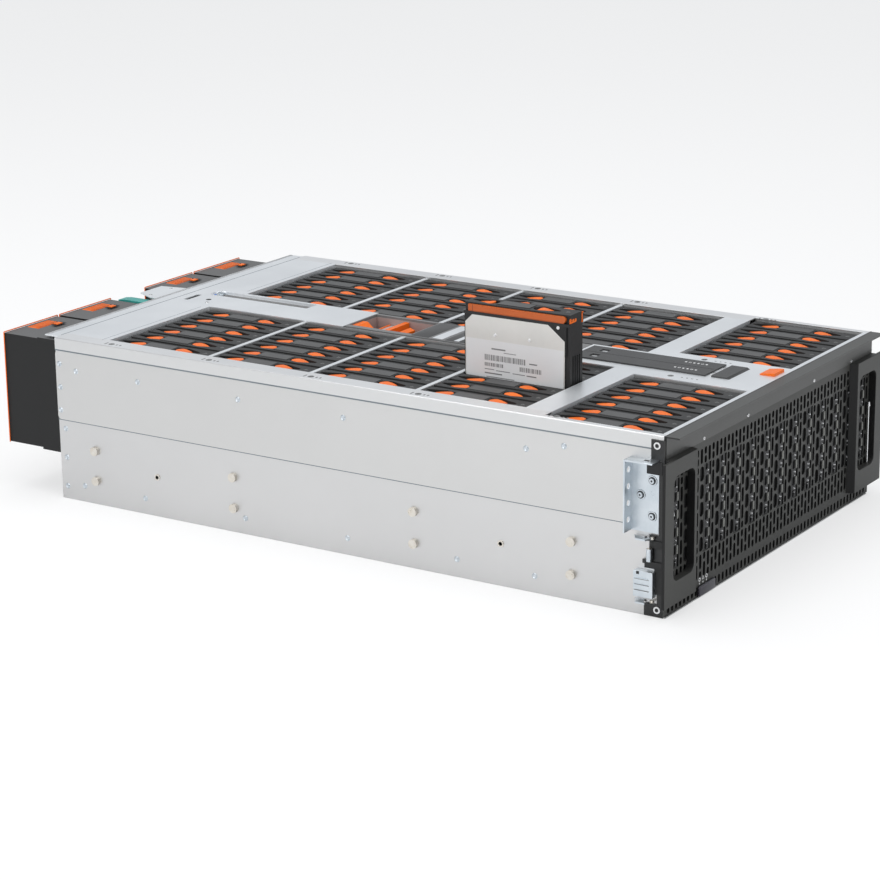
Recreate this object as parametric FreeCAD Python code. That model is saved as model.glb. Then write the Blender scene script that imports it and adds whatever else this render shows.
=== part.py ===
import FreeCAD
import Part
import math
import os

# Disk shelf enclosure: a rack chassis that holds sixty upright disks in five rows, pulled out
# from the top.  Millimetres.  x runs across the front, y from the front to the rear, z up.  The
# shapes are drawn with y = 0 on the face of the front plate and z = 0 under the base pan, and
# save() moves them so that the origin is under the middle of the whole object.

# ------------------------------------------------------------------ sheet metal and clearances
pan_sheet = 1.2          # base pan, top rails, decks and rear frame
panel_sheet = 1.0        # side panels, bay walls, inner grille
front_sheet = 1.5        # perforated front plate
seat_gap = 0.3           # a piece that rests on or in another
slide_gap = 0.5          # round a piece that slides
bend_radius = 2.0        # outside of a folded edge

# ------------------------------------------------------------------ disks and their carriers
disk_thickness = 26.1
disk_depth = 101.6
disk_height = 147.0
disk_bottom = 13.5       # underside of a seated disk
head_height = 12.2       # carrier head above the disk
head_step_width = 2.4    # ledge along both sides of the head
head_step_depth = 1.6
carrier_side = 0.55      # carrier beyond the disk, on each side
carrier_rail = 8.7       # upright rail at each end of the disk
carrier_recess = 2.3     # carrier head below the top of the chassis
carrier_rail_width = 24.0
finger_hole_length = 30.0
finger_hole_half = 7.5
finger_hole_tail = 1.8   # half width of the pointed end
finger_hole_depth = 9.0
front_hole_from_end = 31.8
rear_hole_from_end = 17.8
pad_length = 36.0
pad_width = 14.0
pad_height = 0.6
lever_gap = 0.8          # round a seated carrier's lever
lever_base = 1.6         # lever's lowest part above the floor of its hole
dome_height = 8.0        # front finger lever, highest beside its round end
ramp_height = 7.4        # rear finger lever, likewise
sliding_lever_half = 3.9
sliding_lever_offset = 1.2   # from the round end of its hole
sliding_lever_length = 15.0

# ------------------------------------------------------------------ banks, rows and the spine
columns = 6
rows = 4                 # full rows behind the brace; one more row stands in front of it
column_gap = 1.0
row_gap = 6.2
spine_half = 34.0
front_row_shift = 13.0   # the front row stands this much further out
front_row_play = 4.4     # front row's bay beyond its carriers
front_rail = 6.4
brace_width = 28.8
rear_bay = 57.6
rail_width = 20.3
row_strip = 5.0          # light strip between two rows
pan_lip = 0.7            # pan's floor in front of the front plate
wall_foot = 6.0          # the cross walls stop above the board

# ------------------------------------------------------------------ raised drive
raised_row = 4
raised_column = 3        # counted from the left side, starting at 0
raised_by = 72.0
bar_height = 6.7
bar_depth = 3.5
bar_from_top = 2.3
bar_travel = 4.0
bar_front = 4.5          # where the bar starts behind the head's front end
bar_end_block = 5.0
face_plate = 0.5
face_plate_from_top = 11.4
face_plate_front = 4.9   # bare carrier in front of the plate
face_plate_rear = 1.7    # and behind it
face_plate_front_cut = (19.6, 15.3)
face_plate_rear_cut = (8.8, 8.6)
rail_grooves = 4         # along the front of the raised carrier's rail
groove_from_foot = 20.0
groove_from_head = 30.0
groove_depth = 1.5

# ------------------------------------------------------------------ base board and connectors
board_bottom = 4.0
board_sheet = 1.6
connector_length = 42.0
connector_width = 8.0
board_rib_width = 8.0

# ------------------------------------------------------------------ side
panel_z0 = 87.0
panel_z1 = 161.0
panel_corner = 4.0
rail_seam = 0.9
rail_flange_drop = 7.8
stud_ys = (98.3, 274.8, 492.7, 672.5)
stud_zs = (25.8, 58.4)
stud_radius = 4.7
stud_length = 3.4
insert_ys = (176.0, 591.0)
insert_z = 42.6
insert_radius = 3.4
insert_bore = 2.0
insert_stand = 0.8

# ------------------------------------------------------------------ rack bracket and rail latch
bracket_sheet = 1.5
bracket_y0 = 5.3
bracket_y1 = 35.0
bracket_z0 = 82.0
bracket_z1 = 152.0
bracket_reach = 15.0
bracket_hole_radius = 3.0
bracket_holes = 4
bracket_hole_pitch = 16.0
bracket_step_y = 9.0
bracket_step_z = 11.8
keeper_upper_z = 76.0
keeper_lower_z = 14.6
keeper_reach = 9.0
keeper_slope = 6.0       # along y, from its root to its nose
keeper_nose = 10.0
keeper_root = 22.0
keeper_foot = 14.0
keeper_lower_root = 10.0
pin_radius = 3.0
pin_z0 = 55.5
pin_length = 12.0
latch_y0 = 8.6
latch_length = 20.0
latch_z0 = 20.0
latch_height = 25.0
latch_reach = 7.0
latch_rib = 1.0
return_sheet = 1.2
return_foot = 1.0        # side return: foot, foot's height and its three widths
return_foot_top = 13.0
return_foot_width = 20.0
return_pin_width = 22.0
return_width = 15.0

# ------------------------------------------------------------------ front plate, lip and ears
lip_reach = 14.0
band_sheet = 0.8
band_z0 = 152.6
lip_half = 222.8
grille_period = 31.2
grille_periods = 13
grille_pitch_z = 17.2
grille_rows = 7
grille_z0 = 18.5
slot_width = 5.3
slot_height = 15.0
oval_width = 7.6
slot_offset = 3.9        # from the start of a period
oval_offset = 11.7
comb_pitch = 15.6
comb_width = 4.0
comb_z0 = 2.6
comb_z1 = 11.0
inner_grille_gap = 1.1
ear_inner = 175.0
ear_outer = 237.5
ear_depth = 8.0
ear_flange = 3.0
ear_z0 = 14.0
ear_z1 = 152.5
ear_draft = 4.0
ear_slot_inner = 180.0
ear_slot_outer = 220.0
ear_slot_z0 = 36.0
ear_slot_z1 = 137.0
ear_slot_radius = 8.0

# ------------------------------------------------------------------ rear bay
module_from_bay = 5.6    # inner end of every rear module behind the last row
module_drop = 8.0        # the inner ends are this much lower, clear of the cable trough
frame_from_rear = 4.4    # rear plate in front of the chassis's rear edge
shelf_top = 48.7
fan_gap = 2.6
fan_margin = 0.5         # first fan to the pan's wall
fan_side_space = 29.7    # between the last fan and the other wall
fan_top_gap = 4.0        # fan modules below the top of the chassis
fan_collar_reach = 26.0  # behind the chassis's rear edge
fan_reach = 73.0
fan_inset = 1.5
fan_bore_radius = 40.5
fan_back = 3.0
fan_slots = 7
fan_slot_width = 5.0
rotor_radius = 38.5
hub_radius = 16.0
hub_length = 28.0
blade_count = 7
blade_chord = 22.0
blade_sheet = 2.2
blade_pitch_angle = 35.0
boss_radius = 12.0
fan_latch_width = 34.0
fan_latch_length = 16.0
fan_latch_height = 5.0
fan_latch_travel = 3.0
fan_latch_from_rear = 4.0
fan_latch_share = 0.58   # latch centre along the fan's width
psu_bay = 59.2
psu_height = 40.0
psu_reach = 22.0
psu_shelf = 0.9
psu_handle_reach = 22.0
psu_handle_bar = 5.0
psu_latch_width = 14.0
psu_latch_length = 42.0
psu_latch_height = 4.0
inlet_width = 24.0
inlet_height = 17.0
inlet_depth = 14.0
io_inner = 8.0
io_outer = 212.0
io_height = 40.0
io_z0 = 5.0
io_plate = 2.0
io_plate_margin = 1.5
io_ports = 4
port_width = 18.0
port_height = 9.0
port_depth = 12.0

# ------------------------------------------------------------------ deck, spine and expander
deck_lip_reach = 17.0
deck_lip_margin = 5.0
tongue_x0 = -33.0
tongue_x1 = 22.0
tongue_reach = 32.0
deck_slot_x = (-21.0, 5.0)
deck_slot_from_rear = 17.0
deck_slot_length = 6.0
trough_x = 21.5
trough_radius = 10.0
trough_before_bay = 96.4 # front end of the trough before the last row's rear
trough_from_rear = 20.0
expander_from_brace = 62.8
expander_from_bay = 175.4
expander_half = 31.0
expander_gap = 0.4
expander_pocket_x = (-24.0, 27.0)
expander_pocket_length = 81.0
expander_pocket_depth = 34.0
expander_wall = 1.5
wedge_width = 24.0       # rear expander lever
wedge_length = 38.0
wedge_foot = 6.0
wedge_front_gap = 22.0   # front lever behind the pocket's front wall
front_wedge_length = 9.0
ramp_sheet = 3.0         # steel ramp between the levers
ramp_flange = 6.0
cover_x = (-21.0, 25.0)
cover_from_front = 66.0
cover_to_expander = 6.0
cover_sheet = 1.6
cover_window = 9.0
cover_window_from_rear = 24.0
small_cover_y = (40.0, 60.0)
release_tab_x = (11.0, 33.0)
release_tab_y = (7.0, 23.0)

# ------------------------------------------------------------------ lamp tab and screws
lamp_tab_x = (-158.0, -125.0)
lamp_tab_top = 12.0
lamp_tab_depth = 3.0
ring_screw_radius = 3.4
ring_screw_height = 0.8
bracket_screw_height = 2.0
screw_sides = 12
ring_screw_places = ((6.4, 8.0), (7.8, 165.5))
band_screw_xs = (-150.0, -60.0, 85.0, 173.0)
band_screw_z = 155.0
band_screw_radius = 1.8
band_screw_height = 0.6
bracket_screw_places = ((12.0, 132.0), (24.0, 117.0), (12.0, 98.0))

# ------------------------------------------------------------------ worked out from the above
carrier_width = disk_thickness + 2 * carrier_side
carrier_length = disk_depth + 2 * (carrier_rail + seat_gap)
carrier_pitch = carrier_width + column_gap
row_pitch = carrier_length + row_gap
front_row_length = carrier_length + front_row_play
carrier_top = disk_bottom + disk_height + head_height
height = carrier_top + carrier_recess
bank_outer = spine_half + columns * carrier_pitch
half_width = bank_outer + rail_width
pan_half = half_width - panel_sheet
pan_inner = pan_half - pan_sheet
under_top = height - pan_sheet
rail_foot = under_top - rail_flange_drop
brace_y0 = front_rail + front_row_length
brace_y1 = brace_y0 + brace_width
bay_y1 = brace_y1 + rows * row_pitch
body_length = bay_y1 + rear_bay
front_foot = pan_sheet + seat_gap
module_y0 = bay_y1 + module_from_bay
frame_y0 = body_length - frame_from_rear
fan_collar_y1 = body_length + fan_collar_reach
fan_y1 = body_length + fan_reach
psu_y1 = body_length + psu_reach
trough_y0 = bay_y1 - trough_before_bay
trough_y1 = body_length - trough_from_rear
expander_y0 = brace_y1 + expander_from_brace
expander_y1 = bay_y1 - expander_from_bay
expander_pocket_y0 = expander_y1 - expander_pocket_length
fan_height = height - fan_top_gap - shelf_top - seat_gap
fan_width = (2 * (pan_inner - fan_gap) - fan_margin - fan_side_space - psu_bay) / 4.0
deck_lip_half = half_width - deck_lip_margin
side_gap = 0.4
wall_outer_face = bank_outer + side_gap
wall_inner_face = spine_half - side_gap
front_outer_face = wall_outer_face + front_row_shift
front_inner_face = wall_inner_face + front_row_shift
front_bank_outer = bank_outer + front_row_shift
rear_wall_y = bay_y1 + 1.0
front_wall_y = front_rail - 1.2
board_top = board_bottom + board_sheet
origin_y = (fan_y1 - lip_reach) / 2.0

X = FreeCAD.Vector(1, 0, 0)
Y = FreeCAD.Vector(0, 1, 0)
Z = FreeCAD.Vector(0, 0, 1)
CENTRE = FreeCAD.Vector(0, 0, 0)


# ------------------------------------------------------------------ helpers
def vec(x, y, z):
    return FreeCAD.Vector(x, y, z)


def slab(x0, x1, y0, y1, z0, z1):
    return Part.makeBox(x1 - x0, y1 - y0, z1 - z0, vec(x0, y0, z0))


def outline(points):
    return Part.makePolygon(points + [points[0]])


def prism_xy(points, z0, z1):
    face = Part.Face(outline([vec(x, y, z0) for x, y in points]))
    return face.extrude(vec(0, 0, z1 - z0))


def prism_xz(points, y0, y1):
    face = Part.Face(outline([vec(x, y0, z) for x, z in points]))
    return face.extrude(vec(0, y1 - y0, 0))


def prism_yz(points, x0, x1):
    face = Part.Face(outline([vec(x0, y, z) for y, z in points]))
    return face.extrude(vec(x1 - x0, 0, 0))


def rod(centre, axis, radius, length):
    return Part.makeCylinder(radius, length, centre, axis)


def mirrored(shape):
    return shape.mirror(CENTRE, X)


def both_sides(shapes):
    return list(shapes) + [mirrored(shape) for shape in shapes]


def fused(shapes):
    return shapes[0].multiFuse(shapes[1:]).removeSplitter()


def save(name, shapes):
    """Write one node, moved so that the origin is under the middle of the object."""
    solids = [solid for shape in shapes for solid in shape.Solids]
    node = solids[0] if len(solids) == 1 else Part.makeCompound(solids)
    node = node.copy()
    node.translate(vec(0, -origin_y, 0))
    node.exportStep("parts/" + name + ".step")


def rounded_plate_yz(y0, y1, z0, z1, radius, x0, x1):
    """A plate in the side plane whose two rear corners are rounded."""
    plate = slab(x0, x1, y0, y1, z0, z1)
    corners = [edge for edge in plate.Edges
               if abs(edge.BoundBox.YMin - y1) < 0.01 and edge.BoundBox.XLength > (x1 - x0) / 2.0
               and edge.BoundBox.ZLength < 0.01]
    return plate.makeFillet(radius, corners)


def rounded_slot_xz(x0, x1, z0, z1, radius, y0, y1):
    """A slot with rounded corners that runs along y."""
    slot = slab(x0, x1, y0, y1, z0, z1)
    corners = [edge for edge in slot.Edges if edge.BoundBox.YLength > (y1 - y0) / 2.0]
    return slot.makeFillet(radius, corners)


# ------------------------------------------------------------------ base pan and sides
def base_pan():
    """Floor and two side walls folded from one sheet, with ribs that carry the base board."""
    profile = [(-pan_half, 0), (pan_half, 0), (pan_half, under_top), (pan_inner, under_top),
               (pan_inner, pan_sheet), (-pan_inner, pan_sheet), (-pan_inner, under_top),
               (-pan_half, under_top)]
    pan = prism_xz(profile, front_sheet, body_length)
    folds = [edge for edge in pan.Edges
             if edge.BoundBox.ZMax < 0.01 and edge.BoundBox.YLength > body_length / 2.0]
    pan = pan.makeFillet(bend_radius / 2.0, folds)
    holes = [rod(vec(pan_inner, y, insert_z), X, insert_bore, pan_sheet) for y in insert_ys]
    pan = pan.cut(both_sides(holes))
    lip = slab(-pan_inner, pan_inner, -pan_lip, front_sheet, 0, pan_sheet)
    ribs = []
    for x0, x1, y0, y1 in board_fields():
        for share in (0.25, 0.75):
            x = x0 + share * (x1 - x0)
            ribs.append(slab(x - board_rib_width / 2, x + board_rib_width / 2, y0, y1,
                             pan_sheet, board_bottom))
    return fused([pan, lip] + ribs)


def side_panel():
    """Thin overlay on the upper part of one side."""
    return rounded_plate_yz(front_sheet + seat_gap, body_length, panel_z0, panel_z1,
                            panel_corner, pan_half, half_width)


def top_rail():
    """Folded rail along one top edge: outer wall, top and a short inner flange."""
    seam = panel_z1 + rail_seam
    runs = ((front_sheet, brace_y0, front_bank_outer, rail_foot),
            (brace_y0, rear_wall_y, bank_outer, rail_foot),
            (rear_wall_y, body_length, bank_outer, under_top))
    parts = []
    for y0, y1, inner, foot in runs:
        flange = inner + side_gap
        profile = [(pan_half, seam), (half_width, seam), (half_width, height), (inner, height),
                   (inner, under_top), (flange, under_top)]
        if foot < under_top:
            profile += [(flange, foot), (flange + panel_sheet, foot),
                        (flange + panel_sheet, under_top)]
        parts.append(prism_xz(profile + [(pan_half, under_top)], y0, y1))
    rail = fused(parts)
    edges = [edge for edge in rail.Edges
             if edge.BoundBox.ZMin > height - 0.01 and edge.BoundBox.XMin > half_width - 0.01]
    return rail.makeFillet(panel_sheet, edges)


def rail_studs():
    """Shoulder studs that the slide rails hook on, and the threaded inserts between them."""
    solids = []
    for y in stud_ys:
        for z in stud_zs:
            solids.append(rod(vec(pan_half, y, z), X, stud_radius, stud_length))
    for y in insert_ys:
        insert = rod(vec(pan_half, y, insert_z), X, insert_radius, insert_stand)
        solids.append(insert.cut(rod(vec(pan_half, y, insert_z), X, insert_bore, insert_stand)))
    return both_sides(solids)


# ------------------------------------------------------------------ bays
def board_fields():
    """Left and right board areas of the rows behind the brace, and of the front row."""
    gap = side_gap + slide_gap
    rear = (wall_inner_face + gap, wall_outer_face - gap, brace_y1 + gap, bay_y1 - gap)
    front = (front_inner_face + gap, front_outer_face - gap, front_rail + gap, brace_y0 - gap)
    fields = []
    for x0, x1, y0, y1 in (rear, front):
        fields.append((x0, x1, y0, y1))
        fields.append((-x1, -x0, y0, y1))
    return fields


def bay_side_walls():
    """Upright sheets along both sides of each bank."""
    walls = [slab(wall_outer_face, wall_outer_face + panel_sheet, brace_y1, rear_wall_y,
                  pan_sheet, rail_foot),
             slab(wall_inner_face - panel_sheet, wall_inner_face, brace_y1, rear_wall_y,
                  pan_sheet, under_top),
             slab(front_outer_face, front_outer_face + panel_sheet, front_wall_y, brace_y0,
                  pan_sheet, rail_foot),
             slab(front_inner_face - panel_sheet, front_inner_face, front_wall_y, brace_y0,
                  pan_sheet, under_top)]
    return both_sides(walls)


def windowed_web(y0, top):
    """Cross wall of one bank with two windows for the air."""
    web = slab(wall_inner_face, wall_outer_face, y0, y0 + panel_sheet, wall_foot, top)
    window = columns * carrier_pitch / 4.0
    for share in (0.25, 0.75):
        x = wall_inner_face + share * (wall_outer_face - wall_inner_face)
        web = web.cut(slab(x - window / 2, x + window / 2, y0, y0 + panel_sheet,
                           height * 0.3, height * 0.7))
    return web


def row_walls():
    """Cross walls between the rows, each with a light strip on its top edge."""
    walls = []
    for k in range(1, rows):
        y = brace_y1 + k * row_pitch
        web = windowed_web(y - panel_sheet / 2, height - carrier_recess)
        strip = slab(spine_half, bank_outer, y - row_strip / 2, y + row_strip / 2,
                     height - carrier_recess - panel_sheet, height - carrier_recess + seat_gap)
        walls.append(fused([web, strip]))
    walls.append(windowed_web(rear_wall_y - panel_sheet, under_top))
    walls = both_sides(walls)
    web = slab(front_inner_face, front_outer_face, front_wall_y, front_wall_y + panel_sheet,
               wall_foot, under_top)
    strip = slab(-front_bank_outer, front_bank_outer, front_sheet, front_rail, under_top, height)
    return walls + [fused([strip, web, mirrored(web)])]


def mid_brace():
    """Channel across the chassis between the front row and the others."""
    y0, y1 = brace_y0, brace_y1
    lid = slab(-bank_outer, bank_outer, y0, y1, under_top, height)
    flanges = []
    for x0, x1 in ((wall_inner_face, wall_outer_face), (-wall_outer_face, -wall_inner_face)):
        flanges.append(slab(x0, x1, y1 - panel_sheet, y1, wall_foot, under_top))
    for x0, x1 in ((front_inner_face, bank_outer), (-bank_outer, -front_inner_face)):
        flanges.append(slab(x0, x1, y0, y0 + panel_sheet, wall_foot, under_top))
    return fused([lid] + flanges)


def baseboard():
    """Boards on the floor of each bank with one connector under every disk."""
    solids = []
    for x0, x1, y0, y1 in board_fields():
        solids.append(slab(x0, x1, y0, y1, board_bottom, board_top))
    for row in range(1, rows + 2):
        y = row_front(row) + carrier_length / 2
        for x in column_centres(row):
            solids.append(slab(x - connector_width / 2, x + connector_width / 2,
                               y - connector_length / 2, y + connector_length / 2,
                               board_top, disk_bottom - seat_gap))
    return solids


# ------------------------------------------------------------------ carriers, disks and levers
def row_front(row):
    """Front end of the carriers in a row; row 1 is the rearmost and the last is the front one."""
    if row > rows:
        return front_rail + (front_row_length - carrier_length) / 2
    return bay_y1 - row * row_pitch + (row_pitch - carrier_length) / 2


def column_centres(row):
    shift = front_row_shift if row > rows else 0.0
    right = [spine_half + shift + (k + 0.5) * carrier_pitch for k in range(columns)]
    return [-x for x in reversed(right)] + right


def finger_hole_points(y_round, towards, inset=0.0):
    """Six corners of a drop-shaped finger hole, or of what lies in it with a gap all round."""
    shares = ((0.0, 0.62), (0.38, 1.0), (1.0, finger_hole_tail / finger_hole_half))
    start, run = y_round + towards * inset, finger_hole_length - 2 * inset
    side = [((finger_hole_half - inset) * wide, start + towards * along * run)
            for along, wide in shares]
    return side + [(-x, y) for x, y in reversed(side)]


def finger_hole(y_round, towards, top, rounded):
    floor = top - finger_hole_depth
    if not rounded:
        return prism_xy(finger_hole_points(y_round, towards), floor, top)
    reach = finger_hole_length - finger_hole_half - finger_hole_tail
    lean = math.asin((finger_hole_half - finger_hole_tail) / reach)
    big = y_round + towards * finger_hole_half
    small = big + towards * reach

    def at(centre, radius, angle):
        return vec(radius * math.cos(angle), centre + towards * radius * math.sin(angle), floor)

    start, stop = at(big, finger_hole_half, lean), at(big, finger_hole_half, math.pi - lean)
    tail_a, tail_b = at(small, finger_hole_tail, lean), at(small, finger_hole_tail, math.pi - lean)
    edges = [Part.Arc(stop, at(big, finger_hole_half, -math.pi / 2), start).toShape(),
             Part.LineSegment(start, tail_a).toShape(),
             Part.Arc(tail_a, at(small, finger_hole_tail, math.pi / 2), tail_b).toShape(),
             Part.LineSegment(tail_b, stop).toShape()]
    return Part.Face(Part.Wire(edges)).extrude(vec(0, 0, finger_hole_depth))


def hole_round_ends():
    """Where each hole's round end lies, and the way in which its tail points."""
    front = front_hole_from_end + finger_hole_length / 2
    rear = carrier_length - rear_hole_from_end - finger_hole_length / 2
    return ((front, -1.0), (rear, 1.0))


def carrier_frame(rounded=False):
    """Head with two finger holes and a raised pad, and an upright rail at each end of the disk."""
    half = carrier_width / 2
    top = carrier_top - pad_height
    rail = (carrier_length - disk_depth) / 2 - seat_gap
    ledge, step = top - head_step_depth, half - head_step_width
    head = prism_xz([(-half, carrier_top - head_height), (half, carrier_top - head_height),
                     (half, ledge), (step, ledge), (step, top), (-step, top), (-step, ledge),
                     (-half, ledge)], 0, carrier_length)
    front, rear = [y for y, towards in hole_round_ends()]
    middle = (front + rear) / 2
    pad = slab(-pad_width / 2, pad_width / 2, middle - pad_length / 2, middle + pad_length / 2,
               top, carrier_top)
    rails = [slab(-carrier_rail_width / 2, carrier_rail_width / 2, y, y + rail,
                  disk_bottom, carrier_top - head_height)
             for y in (0, carrier_length - rail)]
    holes = [finger_hole(y, towards, top, rounded) for y, towards in hole_round_ends()]
    return fused([head, pad] + rails).cut(holes)


def finger_levers():
    """The two levers that fill a seated carrier's holes: a dome in front and a ramp behind."""
    floor = carrier_top - pad_height - finger_hole_depth
    solids = []
    for (y, towards), rise in zip(hole_round_ends(), (dome_height, ramp_height)):
        far = y + towards * finger_hole_length
        knee = y + towards * finger_hole_length * 0.2
        heel = y + towards * finger_hole_length * 0.6
        shape = prism_yz([(y, floor), (y, floor + rise * 0.85), (knee, floor + rise),
                          (heel, floor + lever_base * 2), (far, floor + lever_base),
                          (far, floor)], -finger_hole_half, finger_hole_half)
        drop = prism_xy(finger_hole_points(y, towards, lever_gap), floor, floor + rise)
        solids.append(shape.common(drop))
    return solids


def sliding_lever_starts():
    """Upright ends of the latch bar's levers; the rear one leaves room for the bar's travel."""
    (front, ahead), (rear, back) = hole_round_ends()
    return ((front + ahead * sliding_lever_offset, ahead),
            (rear + back * (sliding_lever_offset + bar_travel), back))


def sliding_levers():
    """Narrow wedge levers of the latch bar, with room round them for its travel."""
    floor = carrier_top - pad_height - finger_hole_depth
    solids = []
    for (near, towards), rise in zip(sliding_lever_starts(), (dome_height, ramp_height)):
        far = near + towards * sliding_lever_length
        knee = near + towards * sliding_lever_length * 0.35
        solids.append(prism_yz([(near, floor), (near, floor + rise * 0.8), (knee, floor + rise),
                                (far, floor + lever_base), (far, floor)],
                               -sliding_lever_half, sliding_lever_half))
    return solids


def disk_block():
    half = disk_thickness / 2
    y0 = (carrier_length - disk_depth) / 2
    return slab(-half, half, y0, y0 + disk_depth, disk_bottom, disk_bottom + disk_height)


def placed(shape, x, y, z=0.0):
    copy = shape.copy()
    copy.translate(vec(x, y, z))
    return copy


def seats(row):
    """Places of the seated carriers in a row, without the raised one."""
    centres = column_centres(row)
    if row == raised_row:
        centres.pop(raised_column)
    return [(x, row_front(row)) for x in centres]


def raised_place():
    return column_centres(raised_row)[raised_column], row_front(raised_row), raised_by


def bar_groove(gap):
    """Space of the latch bar in the head's left side, with a gap all round."""
    half = carrier_width / 2
    top = carrier_top - bar_from_top
    return (-half, -half + bar_depth + gap, top - bar_height - gap, top + gap)


def lever_arm(near, towards, gap, travel):
    """Arm that joins a finger lever to the latch bar, or the window that it needs."""
    floor = carrier_top - pad_height - finger_hole_depth
    middle = near + towards * sliding_lever_length * 0.4
    x0 = -carrier_width / 2 + bar_depth - gap
    return slab(x0, -sliding_lever_half + gap, middle - 3.0 - gap - travel, middle + 3.0 + gap,
                floor + 0.6 - gap, floor + 2.8 + gap)


def raised_carrier():
    """The frame of the raised drive, open for its latch bar and let in for its face plate."""
    x0, x1, z0, z1 = bar_groove(seat_gap)
    frame = carrier_frame(rounded=True).cut([slab(x0, x1, 0, carrier_length, z0, z1)])
    windows = [lever_arm(near, towards, seat_gap, bar_travel)
               for near, towards in sliding_lever_starts()]
    frame = frame.cut(windows + [raised_face_plate()])
    step = carrier_rail_width / (rail_grooves + 2)
    grooves = []
    for k in range(rail_grooves):
        x = (k - (rail_grooves - 1) / 2) * step
        grooves.append(slab(x - step / 4, x + step / 4, 0, groove_depth,
                            disk_bottom + groove_from_foot,
                            disk_bottom + disk_height - groove_from_head))
    return frame.cut(grooves)


def raised_latch_bar():
    """Orange bar along the head with both finger levers on it, and its fixed end block."""
    x0, x1, z0, z1 = bar_groove(0.0)
    bar_end = carrier_length - bar_end_block - seat_gap
    bar = slab(x0, x1, bar_front, bar_end, z0, z1)
    ends = [edge for edge in bar.Edges
            if abs(edge.BoundBox.YMax - bar_front) < 0.01 and edge.BoundBox.XLength > 1.0]
    bar = bar.makeFillet(bar_height / 2 - 0.1, ends)
    arms = [lever_arm(near, towards, 0.0, 0.0) for near, towards in sliding_lever_starts()]
    return [fused([bar] + arms + sliding_levers())]


def raised_face_plate():
    """Metal plate on the drive's left side with its two cut upper corners."""
    top = carrier_top - face_plate_from_top
    y0 = face_plate_front
    y1 = carrier_length - face_plate_rear
    front_cut, rear_cut = face_plate_front_cut, face_plate_rear_cut
    points = [(y0, disk_bottom), (y1, disk_bottom), (y1, top - rear_cut[1]),
              (y1 - rear_cut[0], top), (y0 + front_cut[0], top), (y0, top - front_cut[1])]
    x1 = -disk_thickness / 2
    return prism_yz(points, x1 - face_plate, x1)


# ------------------------------------------------------------------ front
def grille_openings():
    """Staggered columns of slots and of wider ovals; alternate columns start with half a slot."""
    half_slot = (slot_height - (grille_pitch_z - slot_height)) / 2
    start = -grille_period * grille_periods / 2
    shapes = []
    for period in range(grille_periods):
        x_slot = start + period * grille_period + slot_offset
        x_oval = start + period * grille_period + oval_offset
        for k in range(grille_rows):
            z = grille_z0 + k * grille_pitch_z
            shapes.append(slot_corners(x_slot, slot_width, z, z + slot_height, 4))
            z = z + grille_pitch_z / 2
            shapes.append(slot_corners(x_oval, oval_width, z, z + slot_height, 6))
        top = grille_z0 + grille_rows * grille_pitch_z
        shapes.append(slot_corners(x_slot, slot_width, top, top + half_slot, 4))
        shapes.append(slot_corners(x_oval, oval_width, grille_z0, grille_z0 + half_slot, 4))
    return shapes


def slot_corners(x, width, z0, z1, sides):
    half = width / 2
    if sides == 4:
        return [(x - half, z0), (x + half, z0), (x + half, z1), (x - half, z1)]
    point = half * 0.8
    return [(x, z0), (x + half, z0 + point), (x + half, z1 - point), (x, z1),
            (x - half, z1 - point), (x - half, z0 + point)]


def perforated(x0, x1, z0, z1, openings, y0, y1):
    rim = outline([vec(x, y0, z) for x, z in ((x0, z0), (x1, z0), (x1, z1), (x0, z1))])
    wires = [outline([vec(x, y0, z) for x, z in points]) for points in openings]
    sheet = Part.makeFace([rim] + wires, "Part::FaceMakerBullseye")
    return sheet.extrude(vec(0, y1 - y0, 0))


def fascia():
    """Perforated front plate."""
    comb_count = int(2 * bank_outer / comb_pitch) + 1
    openings = grille_openings()
    for k in range(comb_count):
        x = (k - (comb_count - 1) / 2) * comb_pitch
        openings.append(slot_corners(x, comb_width, comb_z0, comb_z1, 4))
    return perforated(-half_width, half_width, front_foot, height, openings, 0, front_sheet)


def front_band():
    """Band with the top lip over the plate's upper edge, and the two black side returns."""
    outer = half_width + return_sheet
    profile = [(0, band_z0), (0, height), (-lip_reach, height), (-lip_reach, height - front_sheet),
               (-band_sheet, height - front_sheet), (-band_sheet, band_z0)]
    band = prism_yz(profile, -lip_half, lip_half)
    step = bracket_y0 - seat_gap
    beside_latch, under_pin = latch_y0 - 2, pin_z0 - 4
    points = [(0, return_foot), (return_foot_width, return_foot),
              (return_foot_width, return_foot_top), (beside_latch, return_foot_top),
              (beside_latch, under_pin), (return_pin_width, under_pin),
              (return_pin_width, pin_z0), (return_width, pin_z0),
              (return_width, bracket_z0 - 2), (step, bracket_z0 - 2),
              (step, bracket_z1 - bracket_step_z + seat_gap),
              (step + bracket_step_y, bracket_z1 - bracket_step_z + seat_gap),
              (step + bracket_step_y, height - 4), (0, height - 4)]
    side = prism_yz(points, half_width, outer)
    return [band, side, mirrored(side)]


def inner_grille():
    """Sheet behind the front plate, open behind its columns of slots."""
    start = -grille_period * grille_periods / 2
    windows = []
    for period in range(grille_periods):
        x = start + period * grille_period + (slot_offset + oval_offset) / 2
        windows.append(slot_corners(x, oval_offset + slot_width, grille_z0,
                                    grille_z0 + (grille_rows + 0.5) * grille_pitch_z, 4))
    y0 = front_sheet + inner_grille_gap
    half = pan_inner - slide_gap
    return perforated(-half, half, pan_sheet, rail_foot, windows,
                      y0, y0 + panel_sheet)


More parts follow.
